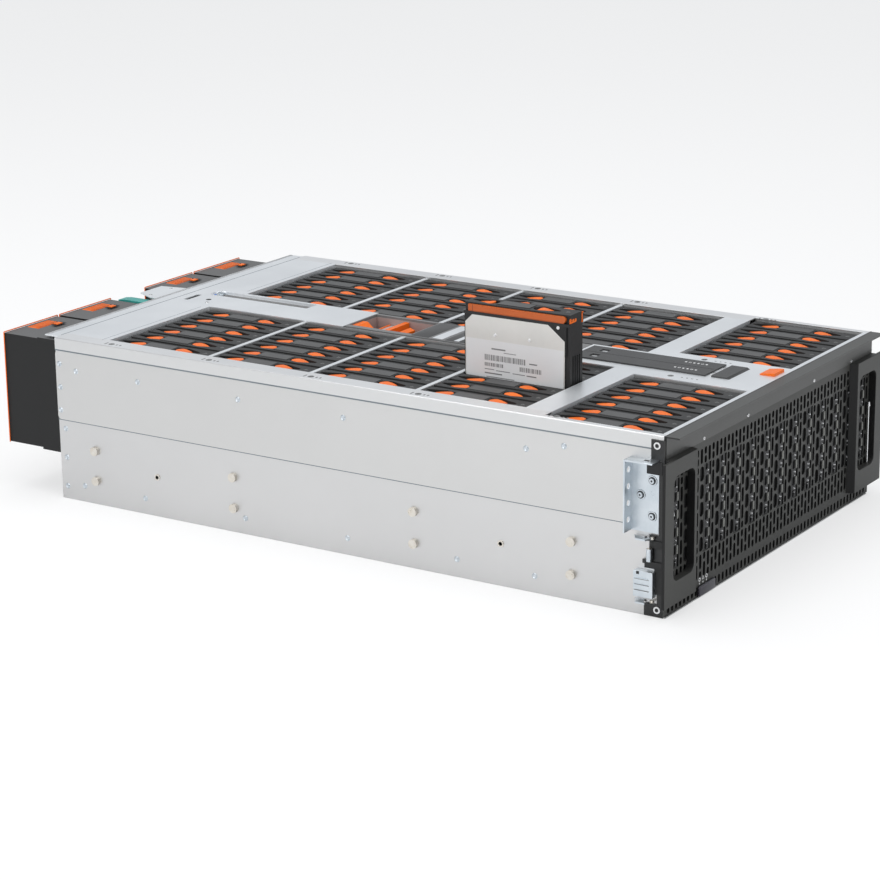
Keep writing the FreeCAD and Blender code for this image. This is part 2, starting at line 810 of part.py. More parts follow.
def ear():
    """Handle ear: a deep moulding with a rounded grip slot and the rack flange outside it."""
    profile = [(ear_inner - ear_draft, 0), (ear_inner, -ear_depth), (ear_outer, -ear_depth),
               (ear_outer, -ear_depth + ear_flange), (half_width, -ear_depth + ear_flange),
               (half_width, 0)]
    body = prism_xy(profile, ear_z0, ear_z1)
    slot = rounded_slot_xz(ear_slot_inner, ear_slot_outer, ear_slot_z0, ear_slot_z1,
                           ear_slot_radius, -ear_depth - 1, 1)
    return body.cut(slot)


def lamp_tab():
    profile = [(0, front_foot), (0, lamp_tab_top), (-lamp_tab_depth, lamp_tab_top - 2),
               (-lamp_tab_depth, front_foot)]
    return prism_yz(profile, lamp_tab_x[0], lamp_tab_x[1])


# ------------------------------------------------------------------ rack bracket and rail latch
def rail_bracket():
    """Zinc bracket on the right side with its slotted flange, top tab, keepers and pin."""
    x0 = half_width
    x1 = x0 + bracket_sheet
    reach = x0 + bracket_reach
    base = slab(x0, x1, bracket_y0, bracket_y1, bracket_z0, bracket_z1)
    base = base.cut(slab(x0, x1, bracket_y0, bracket_y0 + bracket_step_y,
                         bracket_z1 - bracket_step_z, bracket_z1))
    flange = slab(x0, reach, bracket_y1 - bracket_sheet, bracket_y1, bracket_z0, bracket_z1)
    middle = (bracket_z0 + bracket_z1) / 2
    for k in range(bracket_holes):
        z = middle + (k - (bracket_holes - 1) / 2) * bracket_hole_pitch
        flange = flange.cut(rod(vec(reach - bracket_reach / 2, bracket_y1 - bracket_sheet, z), Y,
                                bracket_hole_radius, bracket_sheet))
    tab = slab(x0, reach, bracket_y0 + bracket_step_y, bracket_y1, bracket_z1 - bracket_sheet,
               bracket_z1)
    bracket = fused([base, flange, tab])
    side = half_width + return_sheet
    nose, tip = side + keeper_reach, latch_y0 + keeper_slope
    root = latch_y0 + keeper_root
    upper = prism_xy([(side, latch_y0), (nose, tip), (nose, tip + keeper_nose), (side, root)],
                     keeper_upper_z, keeper_upper_z + bracket_sheet)
    upper = upper.cut(slab(pan_half, side, root - keeper_foot, root, keeper_upper_z,
                           keeper_upper_z + bracket_sheet))
    lower = prism_xy([(pan_half, root - keeper_lower_root), (side, root - keeper_lower_root),
                      (nose, tip), (nose, tip + keeper_nose), (pan_half, root)],
                     keeper_lower_z, keeper_lower_z + bracket_sheet)
    pin = rod(vec(side + pin_radius, tip - pin_radius / 2, pin_z0), Z, pin_radius, pin_length)
    return [bracket, upper, lower, pin]


def rail_latch():
    """Ribbed sliding block that locks the chassis in its slide rail."""
    x0 = pan_half + seat_gap
    body = slab(x0, x0 + latch_reach, latch_y0, latch_y0 + latch_length, latch_z0,
                latch_z0 + latch_height)
    grooves = []
    for k in range(3):
        z = latch_z0 + latch_height * (k + 1) / 4
        grooves.append(slab(x0 + latch_reach - latch_rib, x0 + latch_reach, latch_y0 + 4,
                            latch_y0 + latch_length, z - latch_rib / 2, z + latch_rib / 2))
    return body.cut(grooves)


def screw_head(centre, axis, radius, height):
    """Plain screw head with few faces."""
    rim = Part.makePolygon([centre + across * radius * math.cos(turn) + up * radius * math.sin(turn)
                            for across, up in [(Z.cross(axis), Z)]
                            for turn in [2 * math.pi * k / screw_sides
                                         for k in range(screw_sides + 1)]])
    return Part.Face(rim).extrude(axis * height)


def screws():
    """Ring screws in the returns, bracket screws and the small screws in the front band."""
    side = half_width + return_sheet
    pairs = [screw_head(vec(side, y, z), X, ring_screw_radius, ring_screw_height)
             for y, z in ring_screw_places]
    pairs += [screw_head(vec(half_width + bracket_sheet, y, z), X, ring_screw_radius,
                         bracket_screw_height) for y, z in bracket_screw_places]
    band = [screw_head(vec(x, -band_sheet, band_screw_z), -Y, band_screw_radius,
                       band_screw_height) for x in band_screw_xs]
    return both_sides(pairs) + band


# ------------------------------------------------------------------ rear bay
def fan_starts():
    """Left edge of each fan module; the power supplies stand between the two pairs."""
    first = -pan_inner + fan_margin
    second = first + fan_width + fan_gap
    third = second + fan_width + psu_bay
    return [first, second, third, third + fan_width + fan_gap]


def fan_z0():
    return shelf_top + seat_gap


def psu_centre():
    return fan_starts()[1] + fan_width + psu_bay / 2


def psu_half():
    return psu_bay / 2 - 2 * slide_gap - panel_sheet


def psu_floors():
    """Undersides of the upper and the lower power supply."""
    upper = fan_z0() + fan_height - seat_gap * 2 - psu_height
    lower = upper - seat_gap * 2 - psu_shelf - psu_height
    return upper, lower


def rear_frame():
    """Plate across the rear with an opening for each module, a shelf and the power cage."""
    plate = slab(-pan_inner, pan_inner, frame_y0, frame_y0 + pan_sheet, pan_sheet, under_top)
    shelf = slab(-pan_inner, pan_inner, rear_wall_y + slide_gap, frame_y0, shelf_top - pan_sheet,
                 shelf_top)
    frame = fused([plate, shelf])
    holes = [slab(x - slide_gap, x + fan_width + slide_gap, frame_y0, frame_y0 + pan_sheet,
                  shelf_top, fan_z0() + fan_height + slide_gap) for x in fan_starts()]
    centre, half = psu_centre(), psu_half()
    for z in psu_floors():
        holes.append(slab(centre - half - slide_gap, centre + half + slide_gap, frame_y0,
                          frame_y0 + pan_sheet, z - seat_gap, z + psu_height + seat_gap))
    for x0, x1 in ((io_inner, io_outer), (-io_outer, -io_inner)):
        holes.append(slab(x0 - slide_gap, x1 + slide_gap, frame_y0, frame_y0 + pan_sheet,
                          io_z0 - slide_gap, io_z0 + io_height + slide_gap))
    frame = frame.cut(holes)
    wall = half + slide_gap
    cage_top = psu_floors()[0] + psu_height - module_drop
    cage = [slab(centre - wall - panel_sheet, centre - wall, module_y0, frame_y0,
                 shelf_top, cage_top),
            slab(centre + wall, centre + wall + panel_sheet, module_y0, frame_y0,
                 shelf_top, cage_top)]
    for z in psu_floors():
        cage.append(slab(centre - wall, centre + wall, module_y0, frame_y0,
                         z - seat_gap - psu_shelf, z - seat_gap))
    return fused([frame] + cage)


def inner_step(x0, x1, top):
    """Space over the inner end of a module, under the cable trough."""
    return slab(x0, x1, module_y0, trough_y1 + slide_gap, top - module_drop, top)


def fan_latch_box(x0, gap):
    """Place of the orange latch in the top of a fan module, with a gap round it."""
    x = x0 + fan_width * fan_latch_share
    top = fan_z0() + fan_height - fan_inset
    y1 = fan_y1 - fan_latch_from_rear
    return (x - fan_latch_width / 2 - gap, x + fan_latch_width / 2 + gap,
            y1 - fan_latch_length - gap, y1 + gap, top)


def fan_housing(x0):
    """Fan module: wide collar, slimmer rear part, round duct and slotted back."""
    z0 = fan_z0()
    z1 = z0 + fan_height
    inset = fan_inset
    collar = slab(x0, x0 + fan_width, module_y0, fan_collar_y1, z0, z1)
    rear = slab(x0 + inset, x0 + fan_width - inset, fan_collar_y1, fan_y1, z0 + inset, z1 - inset)
    middle = vec(x0 + fan_width / 2, module_y0, (z0 + z1) / 2)
    duct = rod(middle, Y, fan_bore_radius, fan_y1 - fan_back - module_y0)
    lx0, lx1, ly0, ly1, top = fan_latch_box(x0, seat_gap)
    pocket = slab(lx0, lx1, ly0, ly1, top - fan_latch_height - fan_latch_travel - seat_gap, top)
    slots = []
    for k in range(fan_slots):
        offset = (k - (fan_slots - 1) / 2) * fan_slot_width * 2
        x = middle.x + offset
        half = 0.88 * math.sqrt(fan_bore_radius ** 2 - offset ** 2)
        if abs(offset) < boss_radius + fan_slot_width:
            spans = ((-half, -boss_radius - 4), (boss_radius + 4, half))
        else:
            spans = ((-half, half),)
        for low, high in spans:
            slots.append(slab(x - fan_slot_width / 2, x + fan_slot_width / 2, fan_y1 - fan_back,
                              fan_y1, middle.z + low, middle.z + high))
    step = inner_step(x0, x0 + fan_width, z1)
    body = fused([collar, rear]).cut([duct, pocket, step] + slots)
    boss_y = rotor_y1() + seat_gap
    boss = rod(vec(middle.x, boss_y, middle.z), Y, boss_radius, fan_y1 - fan_back - boss_y)
    return fused([body, boss])


def rotor_y1():
    return fan_y1 - fan_back - 8.0


def fan_rotor(x0):
    """Hub with pitched blades, turning on the boss of the module's back."""
    centre = vec(x0 + fan_width / 2, rotor_y1() - hub_length, fan_z0() + fan_height / 2)
    turns = [math.pi * k / blade_count for k in range(2 * blade_count)]
    hub = prism_xz([(centre.x + hub_radius * math.sin(turn), centre.z + hub_radius * math.cos(turn))
                    for turn in turns], centre.y, rotor_y1())
    blades = []
    for k in range(blade_count):
        blade = slab(-blade_sheet / 2, blade_sheet / 2, -blade_chord / 2, blade_chord / 2,
                     hub_radius - 2, rotor_radius)
        blade.rotate(CENTRE, Z, blade_pitch_angle)
        blade.rotate(CENTRE, Y, 360.0 * k / blade_count)
        blade.translate(centre + vec(0, hub_length / 2, 0))
        blades.append(blade)
    return fused([hub] + blades)


def fan_latch(x0):
    lx0, lx1, ly0, ly1, top = fan_latch_box(x0, 0.0)
    profile = [(ly0, top - fan_latch_height), (ly1, top - fan_latch_height), (ly1, top),
               (ly0 + 5, top), (ly0, top - 2)]
    return prism_yz(profile, lx0, lx1)


def psu_body(z0):
    """Power supply with a mains inlet and a loop handle at its rear."""
    centre, half = psu_centre(), psu_half()
    body = slab(centre - half, centre + half, module_y0, psu_y1, z0, z0 + psu_height)
    inlet_x = centre + half - inlet_width / 2 - 5
    inlet_z = z0 + psu_height / 2
    inlet = slab(inlet_x - inlet_width / 2, inlet_x + inlet_width / 2, psu_y1 - inlet_depth,
                 psu_y1, inlet_z - inlet_height / 2, inlet_z + inlet_height / 2)
    x0 = centre - half + psu_latch_width + 6
    bar = psu_handle_bar
    z_low, z_high = z0 + 4, z0 + psu_height - psu_latch_height - 6
    handle = slab(x0 - bar / 2, x0 + bar / 2, psu_y1, psu_y1 + psu_handle_reach, z_low, z_high)
    handle = handle.cut(slab(x0 - bar / 2, x0 + bar / 2, psu_y1, psu_y1 + psu_handle_reach - bar,
                             z_low + bar, z_high - bar))
    pivot = rod(vec(centre - half + 1, psu_y1 + 6, z0 + psu_height - psu_latch_height - 8), X,
                5.0, psu_latch_width)
    pivot_block = slab(centre - half + 1, centre - half + 1 + psu_latch_width, psu_y1, psu_y1 + 6,
                       z0 + psu_height - psu_latch_height - 12,
                       z0 + psu_height - psu_latch_height - 4)
    step = inner_step(centre - half, centre + half, z0 + psu_height)
    return fused([body.cut([inlet, step]), handle, pivot, pivot_block])


def psu_latch(z0):
    """Tab above the handle that is pushed sideways to free the power supply."""
    x0 = psu_centre() - psu_half() + 1
    top = z0 + psu_height
    y0 = psu_y1 + seat_gap
    profile = [(y0, top - psu_latch_height), (y0 + psu_latch_length, top - psu_latch_height),
               (y0 + psu_latch_length, top - 1), (y0 + psu_latch_length - 8, top), (y0, top)]
    return prism_yz(profile, x0, x0 + psu_latch_width)


def io_module():
    """Port module below the right-hand fans, with its face plate outside the rear frame."""
    z1 = io_z0 + io_height
    body = slab(io_inner, io_outer, module_y0, frame_y0 + pan_sheet + seat_gap, io_z0, z1)
    margin = io_plate_margin
    face_y = frame_y0 + pan_sheet + seat_gap
    plate = slab(io_inner - margin, io_outer + margin, face_y, face_y + io_plate,
                 io_z0 - margin, z1 + margin)
    step = (io_outer - io_inner) / (io_ports + 1)
    ports = []
    for k in range(io_ports):
        x = io_inner + (k + 1) * step
        middle = io_z0 + io_height / 2
        ports.append(slab(x - port_width / 2, x + port_width / 2, face_y + io_plate - port_depth,
                          face_y + io_plate, middle - port_height / 2, middle + port_height / 2))
    return fused([body, plate]).cut(ports)


# ------------------------------------------------------------------ deck, spine and expander
def rear_deck():
    """Cover over the rear bay with its rear lip, tongue, cable slot and trough cut-out."""
    edge = body_length
    lip_y = edge + deck_lip_reach
    tongue_y = lip_y + tongue_reach
    points = [(-bank_outer, bay_y1), (bank_outer, bay_y1), (bank_outer, edge),
              (deck_lip_half, edge), (deck_lip_half, lip_y), (tongue_x1, lip_y),
              (tongue_x1 - 6, tongue_y), (tongue_x0 + 12, tongue_y), (tongue_x0, lip_y + 8),
              (tongue_x0, lip_y), (-deck_lip_half, lip_y), (-deck_lip_half, edge),
              (-bank_outer, edge)]
    deck = prism_xy(points, under_top, height)
    slot_y0 = edge - deck_slot_from_rear
    slot = slab(deck_slot_x[0], deck_slot_x[1], slot_y0, slot_y0 + deck_slot_length, under_top,
                height)
    return deck.cut([slot, trough_space()])


def trough_space():
    """Opening for the cable trough with a rounded rear end."""
    radius = trough_radius + panel_sheet + seat_gap
    run = slab(trough_x - radius, trough_x + radius, trough_y0 - panel_sheet - seat_gap,
               trough_y1 - radius, under_top, height)
    end = rod(vec(trough_x, trough_y1 - radius, under_top), Z, radius, pan_sheet)
    return fused([run, end])


def spine_trough():
    """Half-round cable trough let into the deck, with a rounded end."""
    outer = trough_radius + panel_sheet
    y1 = trough_y1 - outer - seat_gap
    length = y1 - trough_y0 + panel_sheet
    pipe = rod(vec(trough_x, trough_y0 - panel_sheet, height), Y, outer, length)
    end = Part.makeSphere(outer, vec(trough_x, y1, height))
    hollow = rod(vec(trough_x, trough_y0, height), Y, trough_radius, y1 - trough_y0)
    hollow_end = Part.makeSphere(trough_radius, vec(trough_x, y1, height))
    shell = fused([pipe, end]).cut([hollow, hollow_end])
    return shell.cut(slab(trough_x - outer, trough_x + outer, trough_y0 - outer,
                          trough_y1 + outer, height, height + outer))


def spine_deck():
    """Sheets on top of the spine, in front of and behind the expander module."""
    front = slab(-front_inner_face, front_inner_face, front_rail, brace_y0, under_top, height)
    middle = slab(-wall_inner_face, wall_inner_face, brace_y1, expander_y0, under_top, height)
    rear = slab(-wall_inner_face, wall_inner_face, expander_y1, bay_y1, under_top, height)
    return [front, middle, rear.cut(trough_space())]


def spine_covers():
    """Two dark covers on the spine, the long one with two small windows."""
    y1 = expander_y0 - cover_to_expander
    window_y = y1 - cover_window_from_rear
    long_cover = slab(cover_x[0], cover_x[1], cover_from_front, y1, height, height + cover_sheet)
    middle = (cover_x[0] + cover_x[1]) / 2
    half = cover_window / 2
    for x in (middle - 11, middle + 10):
        long_cover = long_cover.cut(slab(x - half, x + half, window_y,
                                         window_y + cover_window, height,
                                         height + cover_sheet))
    profile = [(small_cover_y[0], height), (small_cover_y[1], height),
               (small_cover_y[1], height + cover_sheet),
               (small_cover_y[0] + 3, height + cover_sheet)]
    return [long_cover, prism_yz(profile, cover_x[0] + 1, cover_x[1])]


def release_tab():
    """Orange tab at the front end of the spine."""
    profile = [(release_tab_y[0], height), (release_tab_y[1], height),
               (release_tab_y[1], height + 1.2), (release_tab_y[0] + 4, height + 3.0),
               (release_tab_y[0], height + 3.0)]
    return prism_yz(profile, release_tab_x[0], release_tab_x[1])


def expander_floor():
    return height - expander_pocket_depth


def expander_module():
    """Narrow board module in the spine, open above its two levers."""
    y0, y1 = expander_y0 + expander_gap, expander_y1 - expander_gap
    body = slab(-expander_half, expander_half, y0, y1, pan_sheet + seat_gap, height)
    pocket = slab(expander_pocket_x[0], expander_pocket_x[1], expander_pocket_y0,
                  y1 - expander_wall, expander_floor(), height)
    return body.cut(pocket)


def expander_levers():
    """Two wedge levers and the steel ramp between them, on the floor of the module's opening."""
    x0, x1 = expander_pocket_x[0] + 1, expander_pocket_x[1] - 1
    floor = expander_floor()
    top = height - expander_wall
    rear = expander_y1 - expander_gap - expander_wall - slide_gap
    heel = rear - wedge_length
    wedge = [(rear, floor), (rear, top), (rear - wedge_foot, top), (heel, floor + wedge_foot),
             (heel, floor)]
    front = expander_pocket_y0 + wedge_front_gap
    shoulder = front + front_wedge_length * 2 / 3
    small = [(front, floor), (front, top - wedge_foot), (shoulder, top - wedge_foot + 2),
             (front + front_wedge_length, floor)]
    ramp_y1 = heel - expander_wall
    ramp_top = top - 2
    ramp = [(ramp_y1 - ramp_sheet, floor), (ramp_y1, floor),
            (ramp_y1 + ramp_flange / 2, ramp_top), (ramp_y1 - ramp_flange / 2, ramp_top)]
    return [prism_yz(wedge, x0, x0 + wedge_width), prism_yz(small, x0, x1 - wedge_front_gap / 2),
            prism_yz(ramp, x0 + 2, x1)]


# ------------------------------------------------------------------ write every node
def main():
    os.makedirs("parts", exist_ok=True)
    save("base_pan", [base_pan()])
    right_panel, right_rail = side_panel(), top_rail()
    save("side_panel_right", [right_panel])
    save("side_panel_left", [mirrored(right_panel)])
    save("top_rail_right", [right_rail])
    save("top_rail_left", [mirrored(right_rail)])
    save("rail_studs", rail_studs())
    save("bay_side_walls", bay_side_walls())
    save("row_walls", row_walls())
    save("mid_brace", [mid_brace()])
    save("baseboard", baseboard())
    save("rear_frame", [rear_frame()])
    save("rear_deck", [rear_deck()])
    save("spine_deck", spine_deck() + [spine_trough()])
    save("spine_covers", spine_covers())
    save("front_release_tab", [release_tab()])
    save("fascia", [fascia()])
    save("front_band", front_band())
    save("inner_grille", [inner_grille()])
    save("ear_right", [ear()])
    save("ear_left", [mirrored(ear())])
    save("lamp_tab", [lamp_tab()])
    save("screws", screws())
    bracket = rail_bracket()
    save("rail_bracket_right", bracket)
    save("rail_bracket_left", [mirrored(solid) for solid in bracket])
    save("rail_latch_right", [rail_latch()])
    save("rail_latch_left", [mirrored(rail_latch())])

    frame, disk, levers = carrier_frame(), disk_block(), finger_levers()
    for row in range(1, rows + 2):
        carriers = []
        row_levers = []
        for x, y in seats(row):
            carriers += [placed(frame, x, y), placed(disk, x, y)]
            row_levers += [placed(lever, x, y) for lever in levers]
        save("row_%d_carriers" % row, carriers)
        save("row_%d_levers" % row, row_levers)

    place = raised_place()
    save("raised_carrier", [placed(raised_carrier(), *place)])
    save("raised_disk", [placed(disk, *place)])
    save("raised_face_plate", [placed(raised_face_plate(), *place)])
    save("raised_latch_bar", [placed(solid, *place) for solid in raised_latch_bar()])

    for number, x0 in enumerate(fan_starts(), 1):
        save("fan_%d_housing" % number, [fan_housing(x0)])
        save("fan_%d_rotor" % number, [fan_rotor(x0)])
        save("fan_%d_latch" % number, [fan_latch(x0)])
    for name, z0 in zip(("upper", "lower"), psu_floors()):
        save("psu_%s" % name, [psu_body(z0)])
        save("psu_%s_latch" % name, [psu_latch(z0)])
    save("io_module_right", [io_module()])
    save("io_module_left", [mirrored(io_module())])
    save("expander_module", [expander_module()])
    save("expander_levers", expander_levers())


main()
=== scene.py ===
# %% [markdown]
# # A disk shelf enclosure, dressed in Blender
# The shelf is a rack chassis that holds sixty disks standing upright in five rows.  Its sheet metal,
# carriers, fans and joints come from a CAD model, and this file adds what a CAD model leaves out:
# finishes, printed marks, rivets, screws, a cable, labels and light.  Loading the frame first gives
# every later step real places to measure from, so nothing here has to be fitted by eye.

# %% Load the frame
import math

import bmesh
import bpy
from mathutils import Matrix, Vector


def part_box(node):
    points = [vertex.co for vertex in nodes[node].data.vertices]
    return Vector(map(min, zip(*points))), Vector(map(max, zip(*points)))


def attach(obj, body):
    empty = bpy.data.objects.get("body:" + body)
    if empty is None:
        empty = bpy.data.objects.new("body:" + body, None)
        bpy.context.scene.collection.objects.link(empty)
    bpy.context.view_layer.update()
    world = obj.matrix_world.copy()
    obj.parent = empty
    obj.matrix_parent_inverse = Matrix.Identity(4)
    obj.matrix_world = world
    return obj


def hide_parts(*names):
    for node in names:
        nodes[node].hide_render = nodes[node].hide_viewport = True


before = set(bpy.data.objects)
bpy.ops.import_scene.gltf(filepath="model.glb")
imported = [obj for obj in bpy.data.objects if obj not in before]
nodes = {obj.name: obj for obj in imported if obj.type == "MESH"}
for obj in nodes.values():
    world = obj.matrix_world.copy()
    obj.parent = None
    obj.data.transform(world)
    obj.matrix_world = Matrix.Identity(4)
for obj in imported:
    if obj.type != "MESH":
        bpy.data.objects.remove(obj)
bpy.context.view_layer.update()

# %% [markdown]
# A drawing of sheet metal is read in millimetres, while Blender works in metres.  One small helper
# turns a place on the drawing into a place in the scene.  On the drawing, x runs across the front,
# y runs back from the face of the front plate and z runs up from the floor, so the front plate's
# own box gives the one offset that the helper needs.

# %% Places in millimetres
MM = 0.001
FRONT_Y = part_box("fascia")[0].y


def at(x, y, z):
    """A place on the drawing, in metres in the scene."""
    return Vector((x * MM, FRONT_Y + y * MM, z * MM))


def drawn(point):
    """A place in the scene, in millimetres on the drawing."""
    return Vector((point.x / MM, (point.y - FRONT_Y) / MM, point.z / MM))


def edges_of(node):
    """Lowest and highest corner of a CAD node, on the drawing."""
    low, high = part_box(node)
    return drawn(low), drawn(high)


pan_high = edges_of("base_pan")[1]
half_width = edges_of("side_panel_right")[1].x
top = edges_of("top_rail_right")[1].z
print("chassis %.1f mm wide, %.1f mm deep, %.1f mm high" % (2 * half_width, pan_high.y, top))

# %% [markdown]
# The camera comes before the looks, because the size of a detail on screen decides how much work
# it deserves.  A long lens far from the object keeps the edges of a box nearly parallel.  The stand
# is given by how far round the object it is, how high, how much it tilts, and its distance from
# the foot of the front plate.

# %% Camera
VIEW_ROUND = math.radians(-56.874)
VIEW_HEIGHT = math.radians(16.468)
VIEW_TILT = math.radians(-0.714)
VIEW_OFFSET = Vector((-0.326788, 0.110309, 2.677834))   # right, up and back from the plate's foot
LENS = 111.2
SENSOR = 36.0
turn = (Matrix.Rotation(VIEW_ROUND, 3, "Z") @ Matrix.Rotation(math.pi / 2 - VIEW_HEIGHT, 3, "X")
        @ Matrix.Rotation(VIEW_TILT, 3, "Z"))
camera = bpy.data.objects.new("camera", bpy.data.cameras.new("camera"))
bpy.context.collection.objects.link(camera)
camera.data.lens = LENS
camera.data.sensor_width = SENSOR
camera.data.clip_end = 50.0
camera.matrix_world = Matrix.Translation(turn @ VIEW_OFFSET + at(0, 0, 0)) @ turn.to_4x4()
bpy.context.scene.camera = camera
print("camera stands %.2f m away" % VIEW_OFFSET.length)

# %% [markdown]
# A finish in Blender is a small net of shader nodes: each node is added, given its values and
# linked to the next.  Written out, that takes a line for every socket, so a few short helpers do
# it, and each finish below reads as a list of what goes where.

# %% Node helpers
def set_inputs(shader, values):
    """Sets defaults of inputs; an underscore in a label stands for a space."""
    for label, value in values.items():
        shader.inputs[label.replace("_", " ")].default_value = value


def add_node(tree, kind, **values):
    made = tree.nodes.new("ShaderNode" + kind)
    set_inputs(made, values)
    return made


def add_math(tree, operation, second=None):
    made = add_node(tree, "Math")
    made.operation = operation
    if second is not None:
        made.inputs[1].default_value = second
    return made


def link(tree, *pairs):
    for source, target in pairs:
        tree.links.new(source, target)


def new_material(name):
    material = bpy.data.materials.new(name)
    material.use_nodes = True
    return material, material.node_tree, material.node_tree.nodes["Principled BSDF"]


print("node helpers ready")

# %% [markdown]
# Sheet steel shows its surroundings, so the surroundings are part of the finish.  A large pale
# world gives every flat panel one even tone, and three soft lamps add direction.  The lens sees
# the world as plain white, while the object sees a slightly dimmer one, so pale metal never
# clips.

# %% World, floor and lamps
WHITE = (1, 1, 1, 1)
WORLD_TONE = (0.93, 0.96, 1.0, 1.0)
WORLD_LIGHT = 0.62
FLOOR_TONE = (0.92, 0.92, 0.92, 1.0)
FLOOR_GLOW = 0.62                           # how much white the lens adds to the floor
FLOOR_HALF = 9.0
LAMPS = (("lamp_above", (-0.3, 0.2, 2.6), (0, 0, 0.2), 2.4, 38.0),      # place, aim, size, watts
         ("lamp_side", (-2.6, 0.4, 1.2), (0, 0, 0.1), 1.8, 20.0),
         ("lamp_front", (-0.2, -2.6, 1.0), (0, -0.3, 0.1), 1.4, 11.0))


def white_world():
    """A pale world that the lens sees as plain white."""
    world = bpy.data.worlds.new("studio")
    bpy.context.scene.world = world
    world.use_nodes = True
    tree = world.node_tree
    tree.nodes.clear()
    output, mix, path = (add_node(tree, kind) for kind in ("OutputWorld", "MixShader", "LightPath"))
    lit = add_node(tree, "Background", Color=WORLD_TONE, Strength=WORLD_LIGHT)
    seen = add_node(tree, "Background", Color=WHITE)
    link(tree, (path.outputs["Is Camera Ray"], mix.inputs["Fac"]), (lit.outputs[0], mix.inputs[1]),
         (seen.outputs[0], mix.inputs[2]), (mix.outputs[0], output.inputs["Surface"]))


def floor_material():
    """Pale floor that the lens sees a little brighter, and that keeps the object's shadow."""
    material, tree, shader = new_material("floor")
    set_inputs(shader, {"Base Color": FLOOR_TONE, "Roughness": 0.9, "Specular IOR Level": 0.1})
    glow = add_node(tree, "Emission", Color=WHITE)
    mix, path = add_node(tree, "MixShader"), add_node(tree, "LightPath")
    share = add_math(tree, "MULTIPLY", FLOOR_GLOW)
    link(tree, (path.outputs["Is Camera Ray"], share.inputs[0]),
         (share.outputs[0], mix.inputs["Fac"]), (shader.outputs[0], mix.inputs[1]),
         (glow.outputs[0], mix.inputs[2]),
         (mix.outputs[0], tree.nodes["Material Output"].inputs["Surface"]))
    return material


def area_lamp(name, place, aim, size, power):
    lamp = bpy.data.lights.new(name, "AREA")
    lamp.size = size
    lamp.energy = power
    holder = bpy.data.objects.new(name, lamp)
    bpy.context.collection.objects.link(holder)
    holder.location = place
    holder.rotation_euler = (Vector(place) - Vector(aim)).to_track_quat("Z", "Y").to_euler()


def new_object(name, bm, material):
    """Ends a bmesh as an object at the origin."""
    mesh = bpy.data.meshes.new(name)
    bm.to_mesh(mesh)
    bm.free()
    mesh.materials.append(material)
    shape = bpy.data.objects.new(name, mesh)
    bpy.context.collection.objects.link(shape)
    return shape


white_world()
bm = bmesh.new()
bmesh.ops.create_grid(bm, x_segments=1, y_segments=1, size=FLOOR_HALF)
floor = new_object("floor", bm, floor_material())
for lamp in LAMPS:
    area_lamp(*lamp)
bpy.context.scene.view_settings.view_transform = "Standard"
print("stage set: floor, pale world and", len(LAMPS), "lamps")

# %% [markdown]
# Real metal and plastic are never one flat value.  Three effects return in nearly every finish, so
# each is built once as a node group with named inputs: rolled grain, long in one direction, a
# pebbled texture, and broad handling marks.  Each group puts out a mask or a height, and the
# material decides what to do with it.

# %% Shared effects as node groups
def new_group(name, inputs, outputs):
    """An empty node group with float inputs that have defaults, and float outputs."""
    group = bpy.data.node_groups.new(name, "ShaderNodeTree")
    for label, value in inputs:
        socket = group.interface.new_socket(label, in_out="INPUT", socket_type="NodeSocketFloat")
        socket.default_value = value
    for label in outputs:
        group.interface.new_socket(label, in_out="OUTPUT", socket_type="NodeSocketFloat")
    return group, group.nodes.new("NodeGroupInput"), group.nodes.new("NodeGroupOutput")


def object_place(tree):
    return add_node(tree, "TexCoord").outputs["Object"]


def grain_group(along):
    """Rolling grain: noise stretched along one axis of the object."""
    group, start, end = new_group("grain_" + along, [("Fineness", 900.0), ("Stretch", 40.0)],
                                  ["Height"])
    split, join = add_node(group, "SeparateXYZ"), add_node(group, "CombineXYZ")
    squeeze = add_math(group, "DIVIDE")
    noise = add_node(group, "TexNoise", Detail=3.0)
    for axis in "XYZ":
        if axis == along:
            link(group, (split.outputs[axis], squeeze.inputs[0]),
                 (start.outputs["Stretch"], squeeze.inputs[1]),
                 (squeeze.outputs[0], join.inputs[axis]))
        else:
            link(group, (split.outputs[axis], join.inputs[axis]))
    link(group, (object_place(group), split.inputs[0]), (join.outputs[0], noise.inputs["Vector"]),
         (start.outputs["Fineness"], noise.inputs["Scale"]),
         (noise.outputs["Fac"], end.inputs["Height"]))
    return group


def pebble_group():
    """Moulded or powder-coated texture: two sizes of noise, one over the other."""
    group, start, end = new_group("pebble", [("Fineness", 1800.0)], ["Height"])
    fine = add_node(group, "TexNoise", Detail=2.0)
    cells = add_node(group, "TexVoronoi")
    add = add_math(group, "MULTIPLY_ADD", 0.5)
    for texture in (fine, cells):
        link(group, (object_place(group), texture.inputs["Vector"]),
             (start.outputs["Fineness"], texture.inputs["Scale"]))
    link(group, (cells.outputs["Distance"], add.inputs[0]), (fine.outputs["Fac"], add.inputs[2]),
         (add.outputs[0], end.inputs["Height"]))
    return group


def handling_group():
    """Broad soft patches, from 0 to 1, where hands and packing have changed the surface."""
    group, start, end = new_group("handling", [("Spread", 14.0), ("Contrast", 1.0)], ["Mask"])
    noise = add_node(group, "TexNoise", Detail=6.0, Roughness=0.62)
    centred = add_math(group, "SUBTRACT", 0.5)
    stretched = add_math(group, "MULTIPLY")
    shifted = add_math(group, "ADD", 0.5)
    shifted.use_clamp = True
    link(group, (object_place(group), noise.inputs["Vector"]),
         (start.outputs["Spread"], noise.inputs["Scale"]), (noise.outputs["Fac"], centred.inputs[0]),
         (centred.outputs[0], stretched.inputs[0]), (start.outputs["Contrast"], stretched.inputs[1]),
         (stretched.outputs[0], shifted.inputs[0]), (shifted.outputs[0], end.inputs["Mask"]))
    return group


